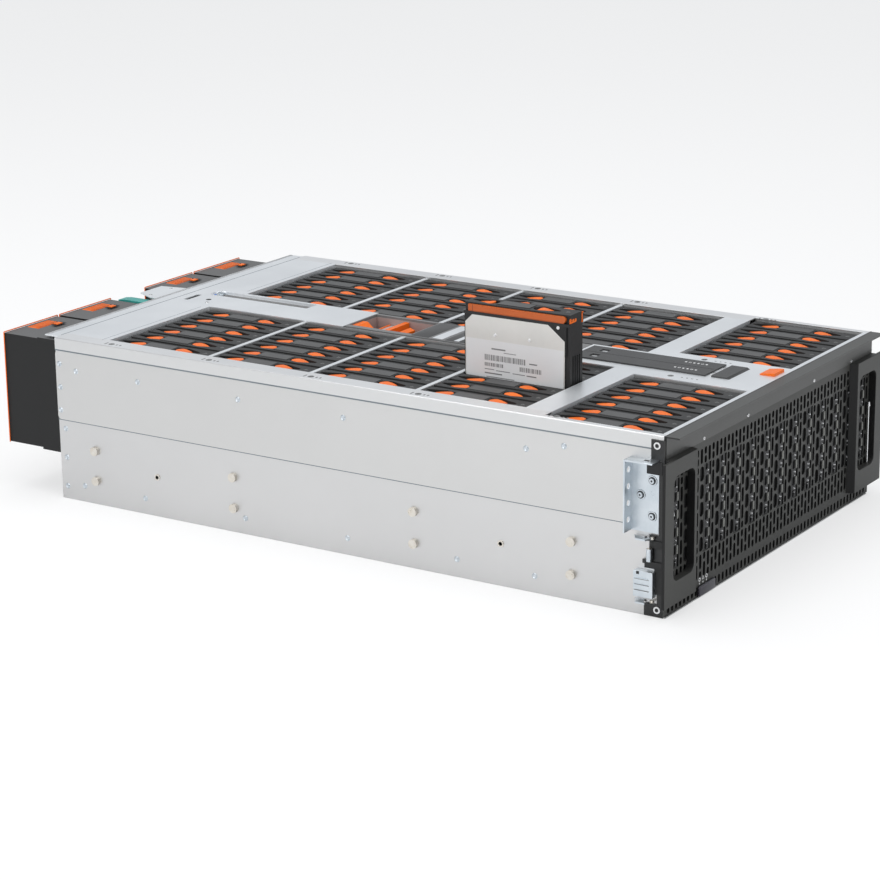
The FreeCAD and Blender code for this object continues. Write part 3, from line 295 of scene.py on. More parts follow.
GRAIN = {axis: grain_group(axis) for axis in "XYZ"}
PEBBLE = pebble_group()
HANDLING = handling_group()
print("effect groups:", [group.name for group in bpy.data.node_groups])

# %% [markdown]
# A finish joins those effects to a Principled shader.  Colour and gloss both follow the handling
# mask between two close values, and the grain or pebble gives the bump.  Values that are the same
# all over the surface are set on the shader itself, because a baked export keeps them only there.

# %% The finish builder
CONTRAST = 2.2


def place_group(tree, group, **values):
    made = add_node(tree, "Group")
    made.node_tree = group
    set_inputs(made, values)
    return made


def blend_colours(tree, mask, low, high):
    """The mask blends two colours, each of them either fixed or the output of another node."""
    mix = add_node(tree, "Mix")
    mix.data_type = "RGBA"
    link(tree, (mask, mix.inputs[0]))
    for socket, colour in ((mix.inputs[6], low), (mix.inputs[7], high)):
        if isinstance(colour, tuple):
            socket.default_value = (*colour, 1)
        else:
            link(tree, (colour, socket))
    return mix.outputs[2]


def blend_values(tree, mask, low, high):
    spread = add_node(tree, "MapRange", To_Min=low, To_Max=high)
    link(tree, (mask, spread.inputs["Value"]))
    return spread.outputs[0]


def base_colour(shader):
    """The output that colours a finish so far."""
    return shader.inputs["Base Color"].links[0].from_socket


def finish(name, dark, light, gloss, metal=0.0, texture=None, depth=0.0, spread=14.0, **fixed):
    """A node-based finish: two close colours, two close roughnesses, and a relief in metres."""
    material, tree, shader = new_material(name)
    mask = place_group(tree, HANDLING, Spread=spread, Contrast=CONTRAST).outputs["Mask"]
    link(tree, (blend_colours(tree, mask, dark, light), shader.inputs["Base Color"]),
         (blend_values(tree, mask, *gloss), shader.inputs["Roughness"]))
    set_inputs(shader, {"Metallic": metal, **fixed})
    if texture:
        group, values = texture
        bump = add_node(tree, "Bump", Strength=1.0, Distance=depth)
        link(tree, (place_group(tree, group, **values).outputs["Height"], bump.inputs["Height"]),
             (bump.outputs["Normal"], shader.inputs["Normal"]))
    return material


def grey(level):
    return (level, level, level)


print("finish builder ready")

# %% [markdown]
# The metals come first.  The pan and the side panels are satin coated steel, pale and even, with a
# rolled grain along the length.  Bracket and latch are zinc with a blue tint, the studs and pins
# are nickel, and the disks show bare cast aluminium.

# %% Metal finishes
LENGTHWISE = (GRAIN["Y"], {"Fineness": 1600.0, "Stretch": 60.0})
CROSSWISE = (GRAIN["X"], {"Fineness": 1600.0, "Stretch": 60.0})
UPRIGHT = (GRAIN["Z"], {"Fineness": 1800.0, "Stretch": 40.0})

satin_steel = finish("satin_steel", (0.60, 0.595, 0.585), (0.63, 0.625, 0.615), (0.38, 0.46), 1.0,
                     LENGTHWISE, 0.000003, 5.0)
pan_steel = finish("pan_steel", (0.61, 0.605, 0.60), (0.64, 0.635, 0.63), (0.40, 0.48), 1.0,
                   LENGTHWISE, 0.000003, 6.0)
# Painted light: the rails are painted brighter than the side steel, as tops lit from above; their
# sides get painted shade below.
rail_steel = finish("rail_steel", (0.78, 0.785, 0.79), (0.83, 0.835, 0.84), (0.36, 0.46), 0.8,
                    LENGTHWISE, 0.000003, 5.0)
# Partly painted light: the decks and walls are painted brighter and bluer than the side steel, as
# faces lit from above; the crosswise grain is their own.
cross_steel = finish("cross_steel", (0.76, 0.78, 0.80), (0.82, 0.84, 0.855), (0.36, 0.48), 0.7,
                     CROSSWISE, 0.000004, 9.0)
zinc = finish("zinc", (0.52, 0.57, 0.61), (0.66, 0.70, 0.73), (0.26, 0.42), 1.0,
              UPRIGHT, 0.00001, 60.0)
nickel = finish("nickel", (0.60, 0.55, 0.47), (0.74, 0.71, 0.66), (0.24, 0.36), 1.0,
                LENGTHWISE, 0.000004, 160.0)
bright_steel = finish("bright_steel", grey(0.66), grey(0.80), (0.20, 0.34), 1.0,
                      CROSSWISE, 0.000004, 120.0)
cast_metal = finish("cast_metal", (0.50, 0.50, 0.49), (0.64, 0.64, 0.62), (0.40, 0.56), 1.0,
                    (PEBBLE, {"Fineness": 1400.0}), 0.00002, 60.0)
plate_metal = finish("plate_metal", (0.66, 0.65, 0.62), (0.74, 0.73, 0.70), (0.42, 0.52), 0.85,
                     LENGTHWISE, 0.000006, 20.0)
print("metals:", [m.name for m in bpy.data.materials if m.name != "floor"])

# %% [markdown]
# The dark parts divide into two kinds.  Front plate, lip and handles are steel with a matt, finely
# pebbled powder coat.  Carriers, covers and fan boxes are moulded plastic, with a softer sheen and
# a coarser texture.  Nothing is pure black, because even a black coat returns a few percent of
# light.

# %% Coated and moulded finishes
COATED = (PEBBLE, {"Fineness": 2600.0})
MOULDED = (PEBBLE, {"Fineness": 1500.0})

CHARCOAL = (0.046, 0.046, 0.043)
CHARCOAL_WORN = (0.057, 0.057, 0.053)
black_coat = finish("black_coat", grey(0.014), grey(0.020), (0.40, 0.52), 0.0, COATED, 0.00003, 8.0)
# Painted shade: the pressed panels get a darker coat than the plate around them.
panel_shade_coat = finish("panel_shade_coat", grey(0.016), grey(0.022), (0.5, 0.6), 0.0, COATED, 0.00003, 8.0)
plate_coat = finish("plate_coat", CHARCOAL, CHARCOAL_WORN, (0.38, 0.50), 0.0, COATED, 0.00003, 8.0,
                    Specular_IOR_Level=0.22)
band_coat = finish("band_coat", CHARCOAL, CHARCOAL_WORN, (0.34, 0.44), 0.0, COATED, 0.00002, 10.0)
deep_black = finish("deep_black", grey(0.008), grey(0.013), (0.55, 0.7), 0.0, COATED, 0.00002, 20.0)
dark_mould = finish("dark_mould", grey(0.034), grey(0.048), (0.36, 0.50), 0.0, MOULDED, 0.00004,
                    30.0)
grey_mould = finish("grey_mould", grey(0.15), grey(0.19), (0.40, 0.52), 0.0, MOULDED, 0.00003, 20.0)
fan_mould = finish("fan_mould", grey(0.010), grey(0.014), (0.50, 0.62), 0.0, MOULDED, 0.00004, 16.0,
                   Specular_IOR_Level=0.3)
orange_mould = finish("orange_mould", (0.78, 0.125, 0.002), (0.90, 0.17, 0.004), (0.34, 0.46), 0.0,
                      MOULDED, 0.00002, 40.0, Specular_IOR_Level=0.35)
bar_mould = finish("bar_mould", (0.50, 0.100, 0.016), (0.56, 0.120, 0.022), (0.36, 0.46), 0.0,
                   MOULDED, 0.00002, 40.0, Specular_IOR_Level=0.4)
teal_mould = finish("teal_mould", (0.03, 0.27, 0.24), (0.05, 0.36, 0.32), (0.30, 0.42), 0.0,
                    MOULDED, 0.00002, 40.0)
white_print = finish("white_print", grey(0.72), grey(0.82), (0.5, 0.6), 0.0, MOULDED, 0.000004, 90.0)
board_mask = finish("board_mask", (0.006, 0.035, 0.022), (0.010, 0.055, 0.033), (0.25, 0.4), 0.0,
                    MOULDED, 0.00001, 80.0)
print("finishes in all:", len(bpy.data.materials))

# %% [markdown]
# A disk and the moulded carrier over it are one node in the CAD model, but two substances.  The
# line between them is a height: below the carrier's head it is cast metal, above it plastic.  A
# second mask, also read from the height, picks out the pad on top, which is a little lighter.

# %% The carrier's two substances
HEAD_DEEP = 12.8
PAD_HIGH = 0.3
SEAM_SOFT = 0.0001
DISK_TONE = (0.60, 0.60, 0.585)
pad_top = edges_of("row_1_carriers")[1].z
lone_top = edges_of("raised_carrier")[1].z
head_low = pad_top - HEAD_DEEP


def height_mask(tree, height):
    """1 above a height on the drawing, 0 below it, soft in between."""
    split = add_node(tree, "SeparateXYZ")
    spread = add_node(tree, "MapRange", From_Min=height * MM - SEAM_SOFT,
                      From_Max=height * MM + SEAM_SOFT)
    link(tree, (object_place(tree), split.inputs[0]), (split.outputs["Z"], spread.inputs["Value"]))
    return spread.outputs[0]


def carrier_finish(name, seam, pad):
    """Plastic with a lighter pad above the seam, cast metal below it."""
    material = finish(name, grey(0.020), grey(0.028), (0.40, 0.52), 0.0, MOULDED, 0.00004, 30.0,
                      Specular_IOR_Level=0.3)
    tree = material.node_tree
    shader = tree.nodes["Principled BSDF"]
    plastic = blend_colours(tree, height_mask(tree, pad), base_colour(shader), grey(0.082))
    mask = height_mask(tree, seam)
    link(tree, (blend_colours(tree, mask, DISK_TONE, plastic), shader.inputs["Base Color"]),
         (blend_values(tree, mask, 0.9, 0.0), shader.inputs["Metallic"]))
    return material


row_carrier = carrier_finish("row_carrier", head_low, pad_top - PAD_HIGH)
lone_carrier = carrier_finish("lone_carrier", 0.0, lone_top - PAD_HIGH)
print("seam between disk and carrier at %.1f mm" % head_low)

# %% [markdown]
# CAD nodes keep their shape, but a perfect corner never catches light the way a real edge
# does.  Two modifiers fix that without touching the mesh: Weld joins the loose triangles of the
# import, and a narrow Bevel rounds the sharp edges, by about a tenth of a millimetre for sheared
# sheet and a few tenths for mouldings.

# %% Dress the CAD nodes
WELD_REACH = 0.000002
SHARP_EDGE = math.radians(38)
dressed = set()


def soften(shape, width, segments):
    weld = shape.modifiers.new("join", "WELD")
    weld.merge_threshold = WELD_REACH
    bevel = shape.modifiers.new("edge", "BEVEL")
    bevel.width = width * MM
    bevel.segments = segments
    bevel.limit_method = "ANGLE"
    bevel.angle_limit = SHARP_EDGE
    bevel.use_clamp_overlap = True


def dress(material, names, width=0.0, segments=2):
    for name in names:
        for place in nodes[name].material_slots:
            place.material = material
        if width:
            soften(nodes[name], width, segments)
        dressed.add(name)


def paint_light_by_facing(material, axis, colour):
    """Paints the faces that look along one axis a colour of their own: painted light and shade by
    facing.
    """
    tree = material.node_tree
    shader = tree.nodes["Principled BSDF"]
    geometry, split = add_node(tree, "NewGeometry"), add_node(tree, "SeparateXYZ")
    size = add_math(tree, "ABSOLUTE")
    link(tree, (geometry.outputs["True Normal"], split.inputs[0]),
         (split.outputs[axis], size.inputs[0]))
    link(tree, (blend_colours(tree, size.outputs[0], base_colour(shader), colour),
                shader.inputs["Base Color"]))


# Painted shade: the sideways faces of the rails are painted darker than their tops.
paint_light_by_facing(rail_steel, "X", (0.64, 0.64, 0.635))
# Painted shade: the sideways faces of the plate, ears and band are painted near black, so the folded
# returns look unlit.
paint_light_by_facing(plate_coat, "X", grey(0.012))     # folded returns stay out of the light
paint_light_by_facing(band_coat, "X", grey(0.012))
# Painted highlight: the upward faces of the fan boxes are painted a paler grey than their sides, as
# lit from above; their roughness stays the same.
paint_light_by_facing(fan_mould, "Z", grey(0.12))       # the tops are a paler, smoother moulding
rows = range(1, 6)
fans = range(1, 5)
sides = ("left", "right")
dress(satin_steel, ["side_panel_" + s for s in sides])
dress(rail_steel, ["top_rail_" + s for s in sides], 0.3)
dress(pan_steel, ["base_pan", "bay_side_walls", "rear_frame"])
dress(cross_steel, ["row_walls", "mid_brace", "spine_deck", "rear_deck"], 0.15)
dress(nickel, ["rail_studs"], 0.2)
dress(board_mask, ["baseboard"])
dress(black_coat, ["fascia", "screws"])
dress(plate_coat, ["ear_left", "ear_right"], 0.5, 3)
dress(band_coat, ["front_band"], 0.2)
dress(deep_black, ["inner_grille"])
dress(dark_mould, ["lamp_tab", "spine_covers"], 0.3)
dress(zinc, ["rail_bracket_" + s for s in sides] + ["rail_latch_" + s for s in sides], 0.2)
dress(row_carrier, ["row_%d_carriers" % k for k in rows], 0.3)
dress(orange_mould, ["row_%d_levers" % k for k in rows] + ["expander_levers",
      "front_release_tab"], 0.35)
dress(bar_mould, ["raised_latch_bar"], 0.35)
dress(lone_carrier, ["raised_carrier"], 0.3)
dress(plate_metal, ["raised_face_plate"], 0.1)
dress(cast_metal, ["raised_disk"], 0.4)
dress(fan_mould, ["fan_%d_housing" % k for k in fans] + ["fan_%d_rotor" % k for k in fans], 0.4)
dress(orange_mould, ["fan_%d_latch" % k for k in fans], 0.3)
dress(cross_steel, ["psu_upper", "psu_lower", "io_module_left", "io_module_right"], 0.3)
dress(teal_mould, ["psu_upper_latch", "psu_lower_latch"], 0.3)
dress(grey_mould, ["expander_module"], 0.3)
print("dressed", len(dressed), "nodes, bare:", sorted(set(nodes) - dressed))

# %% [markdown]
# New pieces share one small workshop.  A bmesh is filled with blocks, rods and rings in drawing
# millimetres; the last step moves it into the scene, merges doubles, shades it smooth up to an
# angle, and lets it ride on its body, with the object itself at the origin.

# %% The workshop
UP = (0, 0, 1)


def once(items):
    """Each item once and in a fixed order, so that every run makes the same mesh."""
    return list(dict.fromkeys(items))


def block(bm, low, high, round_edges=0.0, segments=2):
    """A box between two corners, with its edges rounded if asked."""
    low, high = Vector(low), Vector(high)
    matrix = Matrix.Translation((low + high) / 2) @ Matrix.Diagonal((*(high - low), 1.0))
    made = bmesh.ops.create_cube(bm, size=1.0, matrix=matrix)
    if round_edges:
        edges = once(edge for vert in made["verts"] for edge in vert.link_edges)
        bmesh.ops.bevel(bm, geom=edges, offset=round_edges, segments=segments, profile=0.5,
                        affect="EDGES", material=-1, clamp_overlap=True)
    return made


def rod(bm, start, direction, radius, length, tip=None, sides=20):
    """A round rod from a start point, straight or tapered to its tip."""
    direction = Vector(direction).normalized()
    turned = direction.to_track_quat("Z", "Y").to_matrix().to_4x4()
    matrix = Matrix.Translation(Vector(start) + direction * length / 2) @ turned
    return bmesh.ops.create_cone(bm, cap_ends=True, segments=sides, radius1=radius,
                                 radius2=radius if tip is None else tip, depth=length,
                                 matrix=matrix)


def facing(bm, made, direction):
    """The faces of a new shape that look one way."""
    direction = Vector(direction).normalized()
    faces = once(face for vert in made["verts"] for face in vert.link_faces)
    for face in faces:
        face.normal_update()
    return [face for face in faces if face.normal.dot(direction) > 0.9]


def sink(bm, cap, direction, depth):
    """Pushes a face straight into its shape."""
    deep = bmesh.ops.extrude_discrete_faces(bm, faces=cap)
    bmesh.ops.translate(bm, verts=list(deep["faces"][0].verts),
                        vec=-Vector(direction).normalized() * depth)


def screw(bm, place, direction, radius, height, points=6):
    """A screw head with a chamfered rim and a star-shaped socket."""
    made = rod(bm, place, direction, radius, height, tip=radius * 0.86, sides=4 * points)
    cap = facing(bm, made, direction)
    bmesh.ops.inset_individual(bm, faces=cap, thickness=radius * 0.40)
    cap[0].normal_update()
    middle = cap[0].calc_center_median()
    for k, vert in enumerate(cap[0].verts):
        if k % 4 < 2:
            vert.co = middle + (vert.co - middle) * 0.62
    sink(bm, cap, direction, height * 0.7)


def ring(bm, place, direction, outer, inner, height, sides=28):
    """A flat ring, made by insetting a disc and pushing its middle through."""
    cap = facing(bm, rod(bm, place, direction, outer, height, sides=sides), direction)
    bmesh.ops.inset_individual(bm, faces=cap, thickness=outer - inner)
    sink(bm, cap, direction, height * 0.8)


def finished(name, bm, material, body="chassis", replaces=(), sharp=34.0):
    """Ends the work on a piece: it goes to its place in the scene and rides on its body."""
    bmesh.ops.scale(bm, vec=(MM, MM, MM), verts=bm.verts)
    bmesh.ops.translate(bm, vec=(0, FRONT_Y, 0), verts=bm.verts)
    bmesh.ops.remove_doubles(bm, verts=bm.verts, dist=0.000001)
    bmesh.ops.recalc_face_normals(bm, faces=bm.faces)
    shape = new_object(name, bm, material)
    shape.data.shade_smooth()
    shape.data.set_sharp_from_angle(angle=math.radians(sharp))
    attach(shape, body)
    if replaces:
        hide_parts(*replaces)
    return shape


print("workshop ready")

# %% [markdown]
# The front plate is one sheet with several hundred staggered openings.  Cutting them with booleans
# would leave long thin triangles, so the sheet is laid like tiles: every opening is a ring of
# vertices bridged to the rectangle of its own cell, and the cells share their borders.  One
# straight extrusion then gives the sheet its depth.

# %% Cells of the front plate
plate_low, plate_high = edges_of("fascia")
PLATE_SHEET = 1.5
PERIOD = 31.2
PERIODS = 14
ROW_PITCH = 17.2
PATTERN_HALF = PERIOD * PERIODS / 2
PATTERN_Z = 17.4
SLOT_HEIGHT = 14.6


def cell(bm, x, z, width, height, hole_width, hole_height):
    """One rectangle of sheet round one long rounded opening, centred on x and z."""
    rim = bmesh.ops.create_circle(bm, segments=16, radius=1.0)["verts"]
    hole = bmesh.ops.create_circle(bm, segments=16, radius=1.0)["verts"]
    straight = max(hole_height - hole_width, 0.0) / 2
    for vert in rim:
        a, b = vert.co.x, vert.co.y
        if abs(a) >= abs(b):
            a, b = math.copysign(1, a), 4 / math.pi * math.atan2(b, abs(a))
        else:
            a, b = 4 / math.pi * math.atan2(a, abs(b)), math.copysign(1, b)
        vert.co = Vector((x + a * width / 2, 0, z + b * height / 2))
    for vert in hole:
        a, b = vert.co.x * hole_width / 2, vert.co.y * min(hole_width, hole_height) / 2
        shift = straight if b > 0.001 else -straight if b < -0.001 else 0.0
        vert.co = Vector((x + a, 0, z + b + shift))
    edges = once(edge for vert in rim + hole for edge in vert.link_edges)
    bmesh.ops.bridge_loops(bm, edges=edges)


def column(bm, x, width, first, last, phase, hole_width, hole_height=SLOT_HEIGHT):
    """Cells from one half row to another; the phase says which half rows start a whole cell."""
    level = first
    while level < last:
        tall = 1 if (level + phase) % 2 or level + 1 == last else 2
        z = PATTERN_Z + (level + tall / 2) * ROW_PITCH / 2
        opening = hole_height if tall == 2 else ROW_PITCH / 2 - 1.3
        cell(bm, x, z, width, tall * ROW_PITCH / 2, hole_width, opening)
        level += tall


print("pattern: %d periods of %.1f mm" % (PERIODS, PERIOD))

# %% [markdown]
# Near its foot and its head all columns of the plate are alike.  Between them the sheet is formed:
# a column of wide ovals, a pressed panel with short slots, painted darker as painted shade, and a
# column of narrow slots, over and over.  The columns keep their step from foot to head, so the
# bricks never break rhythm.

# %% The front plate
HALVES = 15
FORMED = (3, 13)                            # the half rows between which the sheet is formed
OVAL, PANEL, NARROW = 9.4, 14.0, 7.8        # widths of the three zones in a period
SLOT_WIDTH, OVAL_WIDTH, PANEL_SLOT = 4.6, 7.8, 9.6
PANEL_EDGE, PANEL_SUNK, PANEL_SHEET = 1.2, 0.7, 1.0
COMB_TOP, COMB_COUNT, COMB_SLOT = 12.6, 56, (4.2, 8.6)
pattern_top = PATTERN_Z + HALVES * ROW_PITCH / 2
formed_low, formed_high = (PATTERN_Z + level * ROW_PITCH / 2 for level in FORMED)
lamp_low, lamp_high = edges_of("lamp_tab")

bm, panels = bmesh.new(), bmesh.new()
for period in range(PERIODS):
    x0 = -PATTERN_HALF + period * PERIOD
    for k in range(4):
        for first, last in ((0, FORMED[0]), (FORMED[1], HALVES)):
            column(bm, x0 + (k + 0.5) * PERIOD / 4, PERIOD / 4, first, last, 1 - k % 2, SLOT_WIDTH)
    column(bm, x0 + OVAL / 2, OVAL, *FORMED, 1, OVAL_WIDTH)
    column(panels, x0 + OVAL + PANEL / 2 - PANEL_EDGE, PANEL - 2 * PANEL_EDGE, *FORMED, 0,
           SLOT_WIDTH, PANEL_SLOT)
    column(bm, x0 + OVAL + PANEL + NARROW / 2, NARROW, *FORMED, 0, SLOT_WIDTH)
    for x in (x0 + OVAL - 0.6, x0 + OVAL + PANEL - 0.6):
        block(bm, (x, 0, formed_low), (x + 0.9, 0.8, formed_high))
comb_pitch = 2 * PATTERN_HALF / COMB_COUNT
for k in range(COMB_COUNT):
    cell(bm, -PATTERN_HALF + (k + 0.5) * comb_pitch, (plate_low.z + COMB_TOP) / 2, comb_pitch,
         COMB_TOP - plate_low.z, *COMB_SLOT)
for x0, x1, z0, z1 in ((-PATTERN_HALF, PATTERN_HALF, COMB_TOP, PATTERN_Z),
                       (-PATTERN_HALF, PATTERN_HALF, pattern_top, plate_high.z),
                       (plate_low.x, -PATTERN_HALF, plate_low.z, plate_high.z),
                       (PATTERN_HALF, plate_high.x, plate_low.z, plate_high.z)):
    matrix = (Matrix.Translation(((x0 + x1) / 2, 0, (z0 + z1) / 2))
              @ Matrix.Rotation(math.pi / 2, 4, "X")
              @ Matrix.Diagonal(((x1 - x0) / 2, (z1 - z0) / 2, 1, 1)))
    bmesh.ops.create_grid(bm, x_segments=1, y_segments=1, size=1.0, matrix=matrix)


def sheet(bm, thickness):
    """Joins the cells, then extrudes them straight back, so no corner can tilt."""
    bmesh.ops.remove_doubles(bm, verts=bm.verts, dist=0.01)
    pushed = bmesh.ops.extrude_face_region(bm, geom=bm.faces[:], use_keep_orig=True)
    moved = [item for item in pushed["geom"] if isinstance(item, bmesh.types.BMVert)]
    bmesh.ops.translate(bm, verts=moved, vec=(0, thickness, 0))


sheet(bm, PLATE_SHEET)
sheet(panels, PANEL_SHEET)
bmesh.ops.translate(panels, verts=panels.verts, vec=(0, PANEL_SUNK, 0))
front_plate = finished("front_plate", bm, plate_coat, replaces=["fascia"])
# Painted shade: a black sheet behind the openings stands for the dark inside of the chassis.
shade_sheet = bmesh.new()
block(shade_sheet, (-PATTERN_HALF, 2.2, COMB_TOP), (PATTERN_HALF, 2.4, pattern_top))
finished("grille_shade", shade_sheet, deep_black, replaces=["fascia"])
finished("pressed_panels", panels, panel_shade_coat, replaces=["fascia"])
low, high = drawn(Vector(front_plate.bound_box[0])), drawn(Vector(front_plate.bound_box[6]))
print("front plate:", len(front_plate.data.polygons), "faces, y %.2f to %.2f" % (low.y, high.y))

# %% [markdown]
# The pressed bumps and the rivets are separate pieces, because they differ in finish: the bumps
# are the same coat painted lighter as a painted highlight, and the rivets are plain steel.  They
# are too many to model finely, so each has only a few sides.

# %% Bumps and rivets of the plate
bumps, rivets = bmesh.new(), bmesh.new()
for period in range(PERIODS):
    x = -PATTERN_HALF + period * PERIOD + OVAL + PANEL / 2
    for level in range(*FORMED, 2):
        z = PATTERN_Z + (level + 1) * ROW_PITCH / 2
        rod(rivets, (x, 0.9, z + 1.2), (0, -1, 0), 1.2, 1.6, tip=0.7, sides=8)
        rod(rivets, (x, 0.9, z - 2.8), (0, -1, 0), 0.7, 1.2, tip=0.4, sides=8)
        if level > FORMED[0]:
            z -= ROW_PITCH / 2
            block(bumps, (x + 2.2, -0.5, z - 4.4), (x + 4.9, 0.9, z + 4.4), 1.0, 2)
# Painted highlight: the bumps get a lighter, glossier coat than the plate, for the light they catch.
finished("plate_bumps", bumps, finish("bump_highlight_coat", (0.16, 0.16, 0.15), (0.22, 0.22, 0.20),
         (0.28, 0.38), 0.3, COATED, 0.00002, 60.0))
finished("plate_rivets", rivets, bright_steel)
print("bumps and rivets placed in", PERIODS, "periods")

# %% [markdown]
# Fasteners decide whether sheet metal looks assembled or moulded.  Three zinc flange screws hold
# each bracket, screws inside a pale ring hold the black returns, and small ones hold the front
# band.  Together they stand for the plain heads of the CAD model.

# %% Screws
BRACKET_SCREWS = ((12.0, 132.0), (24.0, 117.0), (12.0, 98.0))       # y, z
RETURN_SCREWS = ((6.4, 8.0), (7.8, 165.5))
BAND_SCREWS = (-150.0, -60.0, 85.0, 173.0)                          # x
return_face = half_width + 1.2
bracket_face = half_width + 1.5
screws_zinc, seat_shade, rings_pale, screws_dark, band = (bmesh.new() for _ in range(5))
for sign in (-1, 1):
    out = (sign, 0, 0)
    for y, z in BRACKET_SCREWS:
        place = (sign * bracket_face, y, z)
        rod(screws_zinc, place, out, 5.0, 0.6, tip=4.6, sides=28)
        # Painted shade: a black ring under each screw head and a black core in its socket stand for
        # the shade there.
        rod(seat_shade, place, out, 3.7, 0.75, sides=28)
        screw(screws_zinc, (sign * (bracket_face + 0.6), y, z), out, 2.9, 1.6)
        rod(seat_shade, place, out, 1.2, 1.9, sides=6)
    for y, z in RETURN_SCREWS:
        ring(rings_pale, (sign * return_face, y, z), out, 3.4, 2.0, 0.5)
        screw(screws_dark, (sign * (return_face + 0.1), y, z), out, 1.95, 0.6)
for x in BAND_SCREWS:
    screw(band, (x, -0.8, 155.0), (0, -1, 0), 1.8, 0.6)
for name, bm, material in (("screw_seat_shade", seat_shade, deep_black),
                           ("bracket_screws", screws_zinc, zinc),
                           ("return_screws", screws_dark, black_coat),
                           ("return_rings", rings_pale, white_print),
                           ("band_screws", band, bright_steel)):
    finished(name, bm, material, replaces=["screws"])
print("screws: 6 on the brackets, 4 in rings,", len(BAND_SCREWS), "in the band")

# %% [markdown]
# Blind rivets join the overlays and the pan.  Each is a low dome with a dimple where its mandrel
# broke off.  Their rows follow the folds inside the chassis, the same on both sides.

# %% Side rivets
UPPER_RIVETS = ((715, 147), (715, 122), (716, 97), (693, 141.6), (611, 141.6), (483, 141.2),
                (355, 141), (147, 141.4), (106, 150))
LOWER_RIVETS = ((711.5, 77), (711.7, 45.7), (712.6, 14), (689, 17.6), (608, 17), (479, 17),
                (353.5, 17.5), (225.6, 18.3), (138.5, 16.8))
pan_face = pan_high.x
bm = bmesh.new()
for sign in (-1, 1):
    for places, surface in ((UPPER_RIVETS, half_width), (LOWER_RIVETS, pan_face)):
        for y, z in places:
            made = rod(bm, (sign * surface, y, z), (sign, 0, 0), 3.1, 0.7, tip=2.2, sides=20)
            cap = facing(bm, made, (sign, 0, 0))
            bmesh.ops.inset_individual(bm, faces=cap, thickness=1.0, depth=-0.5)
finished("side_rivets", bm, zinc)
print("rivets per side:", len(UPPER_RIVETS) + len(LOWER_RIVETS))

# %% [markdown]
# Every carrier has two finger holes, and a moulded lever lies in each.  A lever is a mound whose
# outline follows the hole; its crown stands just under the top and sinks towards the tail.  Three
# rings of vertices, bridged one to the next, give that with few faces, because the shape is
# repeated more than a hundred times.

# %% Finger levers
HOLES = ((39.3, -1), (94.3, 1))             # middle of the round end, and the way the tail points
PITCH = 28.2
FIRST_COLUMN = 34.0
FRONT_ROW_SHIFT = 13.0
HEAD_SUNK = 0.6                             # the head lies this far under the top of its pad
LEVER_HALF, TAIL_TAPER = 6.7, 0.35
LEVER_RINGS = ((1.0, 8.9, 0.0), (0.97, 0.5, 1.3), (0.66, 0.0, 1.5))   # share, depth, sinking tail


def lever(bm, x, y, way, ceiling, round_reach=7.0, tail_reach=14.0):
    """One lever: middle of its round end, the way its tail points, and the carrier's top."""
    loops = []
    for share, depth, sinking in LEVER_RINGS:
        loop = bmesh.ops.create_circle(bm, segments=14, radius=1.0)["verts"]
        for vert in loop:
            across, along = vert.co.x, vert.co.y
            tail_share = max(along, 0.0)
            reach = tail_reach if along > 0 else round_reach
            vert.co = Vector((x + across * LEVER_HALF * share * (1.0 - TAIL_TAPER * tail_share),
                              y + way * along * reach * share,
                              ceiling - depth - sinking * tail_share))
        loops.append(loop)
    for pair in zip(loops, loops[1:]):
        rims = once(edge for loop in pair for vert in loop for edge in vert.link_edges
                    if edge.verts[0] in loop and edge.verts[1] in loop)
        bmesh.ops.bridge_loops(bm, edges=rims)
    bm.faces.new(loops[-1])


def column_places(row):
    shift = FRONT_ROW_SHIFT if row == 5 else 0.0
    places = [sign * (FIRST_COLUMN + shift + (k + 0.5) * PITCH) for sign in (-1, 1)
              for k in range(6)]
    return [x for x in places if row != 4 or abs(x - lone_x) > 1.0]


def heads(row):
    """Middle, front and level of every carrier's head in a row."""
    low, high = edges_of("row_%d_carriers" % row)
    return [(x, low.y, high.z - HEAD_SUNK) for x in column_places(row)]


drive_low, drive_high = edges_of("raised_carrier")
lone_x = (drive_low.x + drive_high.x) / 2
lone_head = (lone_x, drive_low.y, drive_high.z - HEAD_SUNK)
for row in rows:
    bm = bmesh.new()
    for x, front, level in heads(row):
        for shift, way in HOLES:
            lever(bm, x, front + shift, way, level)
    finished("finger_levers_%d" % row, bm, orange_mould, "row_%d" % row,
             ["row_%d_levers" % row], 50.0)
bm = bmesh.new()
for shift, way in HOLES:
    lever(bm, lone_x, drive_low.y + shift + way, way, lone_head[2], 2.6, 16.0)
finished("raised_finger_levers", bm, orange_mould, "latch_bar", sharp=50.0)
print("levers:", 2 * sum(len(heads(row)) for row in rows) + 2)

# %% [markdown]
# The pad between the two holes stands in a shallow groove, and a small triangle near the front
# tells which way round the carrier goes.  Both are nearly flat, so the groove's shade is painted
# on as dark strips, and the triangle is a printed mark.

# %% Grooves and marks on the carriers
pale_print = finish("pale_print", grey(0.20), grey(0.26), (0.5, 0.6), 0.0, MOULDED, 0.000004, 90.0)
PAD_HALF, PAD_REACH, GROOVE = 7.0, 18.0, 1.1
PAD_MIDDLE, MARK_PLACE = 66.8, 9.0          # from the front of the head


